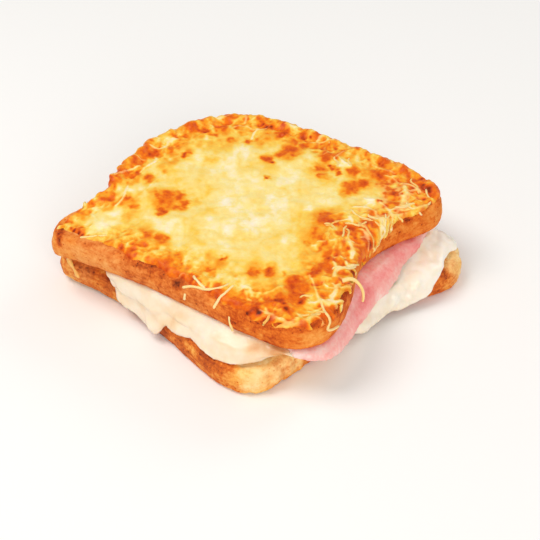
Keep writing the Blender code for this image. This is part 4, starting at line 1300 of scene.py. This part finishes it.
for path, radius, shredTone in shredPaths:
    rise = np.pad(np.maximum(cheeseHeight(*path.T)[0], 0.0), 3, "edge")
    rise = np.convolve(rise, np.ones(7) / 7, "valid")
    rise = np.minimum(rise - 0.3 * radius, cheeseValues["ceiling"] - radius)
    fromEnds = np.minimum(np.arange(len(path)), np.arange(len(path))[::-1])
    addShred(onCrust(upperForm, *path.T, rise), radius * np.clip(fromEnds / 2.0 + 0.45, 0, 1),
             shredValues["sides"], shredTone)

hanging = smoothPath(shredValues["hanging"], 8) * mm + axis
hangingRadii = np.linspace(shredValues["hangingFrom"], shredValues["hangingTo"], len(hanging))
addShred(hanging, hangingRadii, shredValues["hangingSides"], shredValues["hangingTone"])

steps = np.linspace(0, 1, dripValues["steps"])
dripAngle = np.radians(dripValues["from"] + (dripValues["to"] - dripValues["from"]) * steps)
dripReach = radiusOf(lowerForm["curve"], dripAngle)
nx, ny = outwards(lowerForm, dripAngle)
drip = lifted(lowerForm, dripReach * np.cos(dripAngle) + nx * dripValues["out"],
              dripReach * np.sin(dripAngle) + ny * dripValues["out"],
              dripValues["top"] + (dripValues["bottom"] - dripValues["top"]) * steps)
dripRadii = dripValues["radius"] * (0.75 + 0.25 * np.sin(steps * 9)) * np.clip((1 - steps) * 6 + 0.4, 0, 1)
addShred(drip, dripRadii, dripValues["sides"], dripValues["tone"])

shredVerts, shredFaces = np.concatenate(shredVerts), np.concatenate(shredFaces)
shreds = meshObject("cheeseShreds", shredVerts, shredFaces, shredPaint.material)
paint(shreds, "brown", np.concatenate(shredTones))
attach(shreds, "root")
print("shreds built", len(shreds.data.polygons))


# Floor, light and camera

studio = {
    "floorSize": 3.0,
    "floorHeight": -0.2 * mm,
    "floorColour": (251, 251, 250),
    "aim": (0, 0, 0.02),
    # name, place, size in metres, power in watts, colour
    "lights": [
        ("mainLight", (-0.35, -0.30, 0.85), 0.55, 4.5, (1, 0.97, 0.93)),
        ("fillLight", (0.75, -0.65, 0.45), 0.7, 4.8, (1, 0.96, 0.92)),
        ("backLight", (0.2, 0.8, 0.6), 0.5, 1.6, (1, 0.97, 0.94)),
    ],
    "skyColour": (1, 0.99, 0.98, 1),
    "sky": 0.41,
    # the camera's place from the slices' line, where it looks in degrees, and its lens in mm
    "cameraX": 0.2617,
    "cameraY": -0.3643,
    "cameraZ": 0.3475,
    "azimuth": 35,
    "elevation": 37.74,
    "sensor": 36,
    "lens": 92.55,
}


def makeFloor(size, z):
    mesh = bpy.data.meshes.new("floor")
    corners = [(-size, -size, z), (size, -size, z), (size, size, z), (-size, size, z)]
    mesh.from_pydata(corners, [], [(0, 1, 2, 3)])
    item = bpy.data.objects.new("floor", mesh)
    bpy.context.scene.collection.objects.link(item)
    floorPaint = Paint("floorPaint", roughness=0.9, shine=0.1)
    floorPaint.colour(linear(*studio["floorColour"]))
    mesh.materials.append(floorPaint.material)


def softLight(name, place, size, power, colour):
    data = bpy.data.lights.new(name, "AREA")
    data.shape = "DISK"
    data.size = size
    data.energy = power
    data.color = colour
    item = bpy.data.objects.new(name, data)
    item.location = place
    item.rotation_euler = (Vector(studio["aim"]) - Vector(place)).to_track_quat("-Z", "Y").to_euler()
    bpy.context.scene.collection.objects.link(item)


makeFloor(studio["floorSize"], studio["floorHeight"])
for light in studio["lights"]:
    softLight(*light)
world = bpy.data.worlds.new("studio")
world.use_nodes = True
world.node_tree.nodes["Background"].inputs["Color"].default_value = studio["skyColour"]
world.node_tree.nodes["Background"].inputs["Strength"].default_value = studio["sky"]
bpy.context.scene.world = world

camera = bpy.data.objects.new("camera", bpy.data.cameras.new("camera"))
azimuth, elevation = math.radians(studio["azimuth"]), math.radians(studio["elevation"])
level = math.cos(elevation)
forward = Vector((-math.sin(azimuth) * level, math.cos(azimuth) * level, -math.sin(elevation)))
camera.location = (axisX + studio["cameraX"], axisY + studio["cameraY"], studio["cameraZ"])
camera.rotation_euler = forward.to_track_quat("-Z", "Y").to_euler()
camera.data.sensor_width = studio["sensor"]
camera.data.lens = studio["lens"]
bpy.context.scene.collection.objects.link(camera)
bpy.context.scene.camera = camera
bpy.context.scene.view_settings.view_transform = "Standard"
print("stage ready")
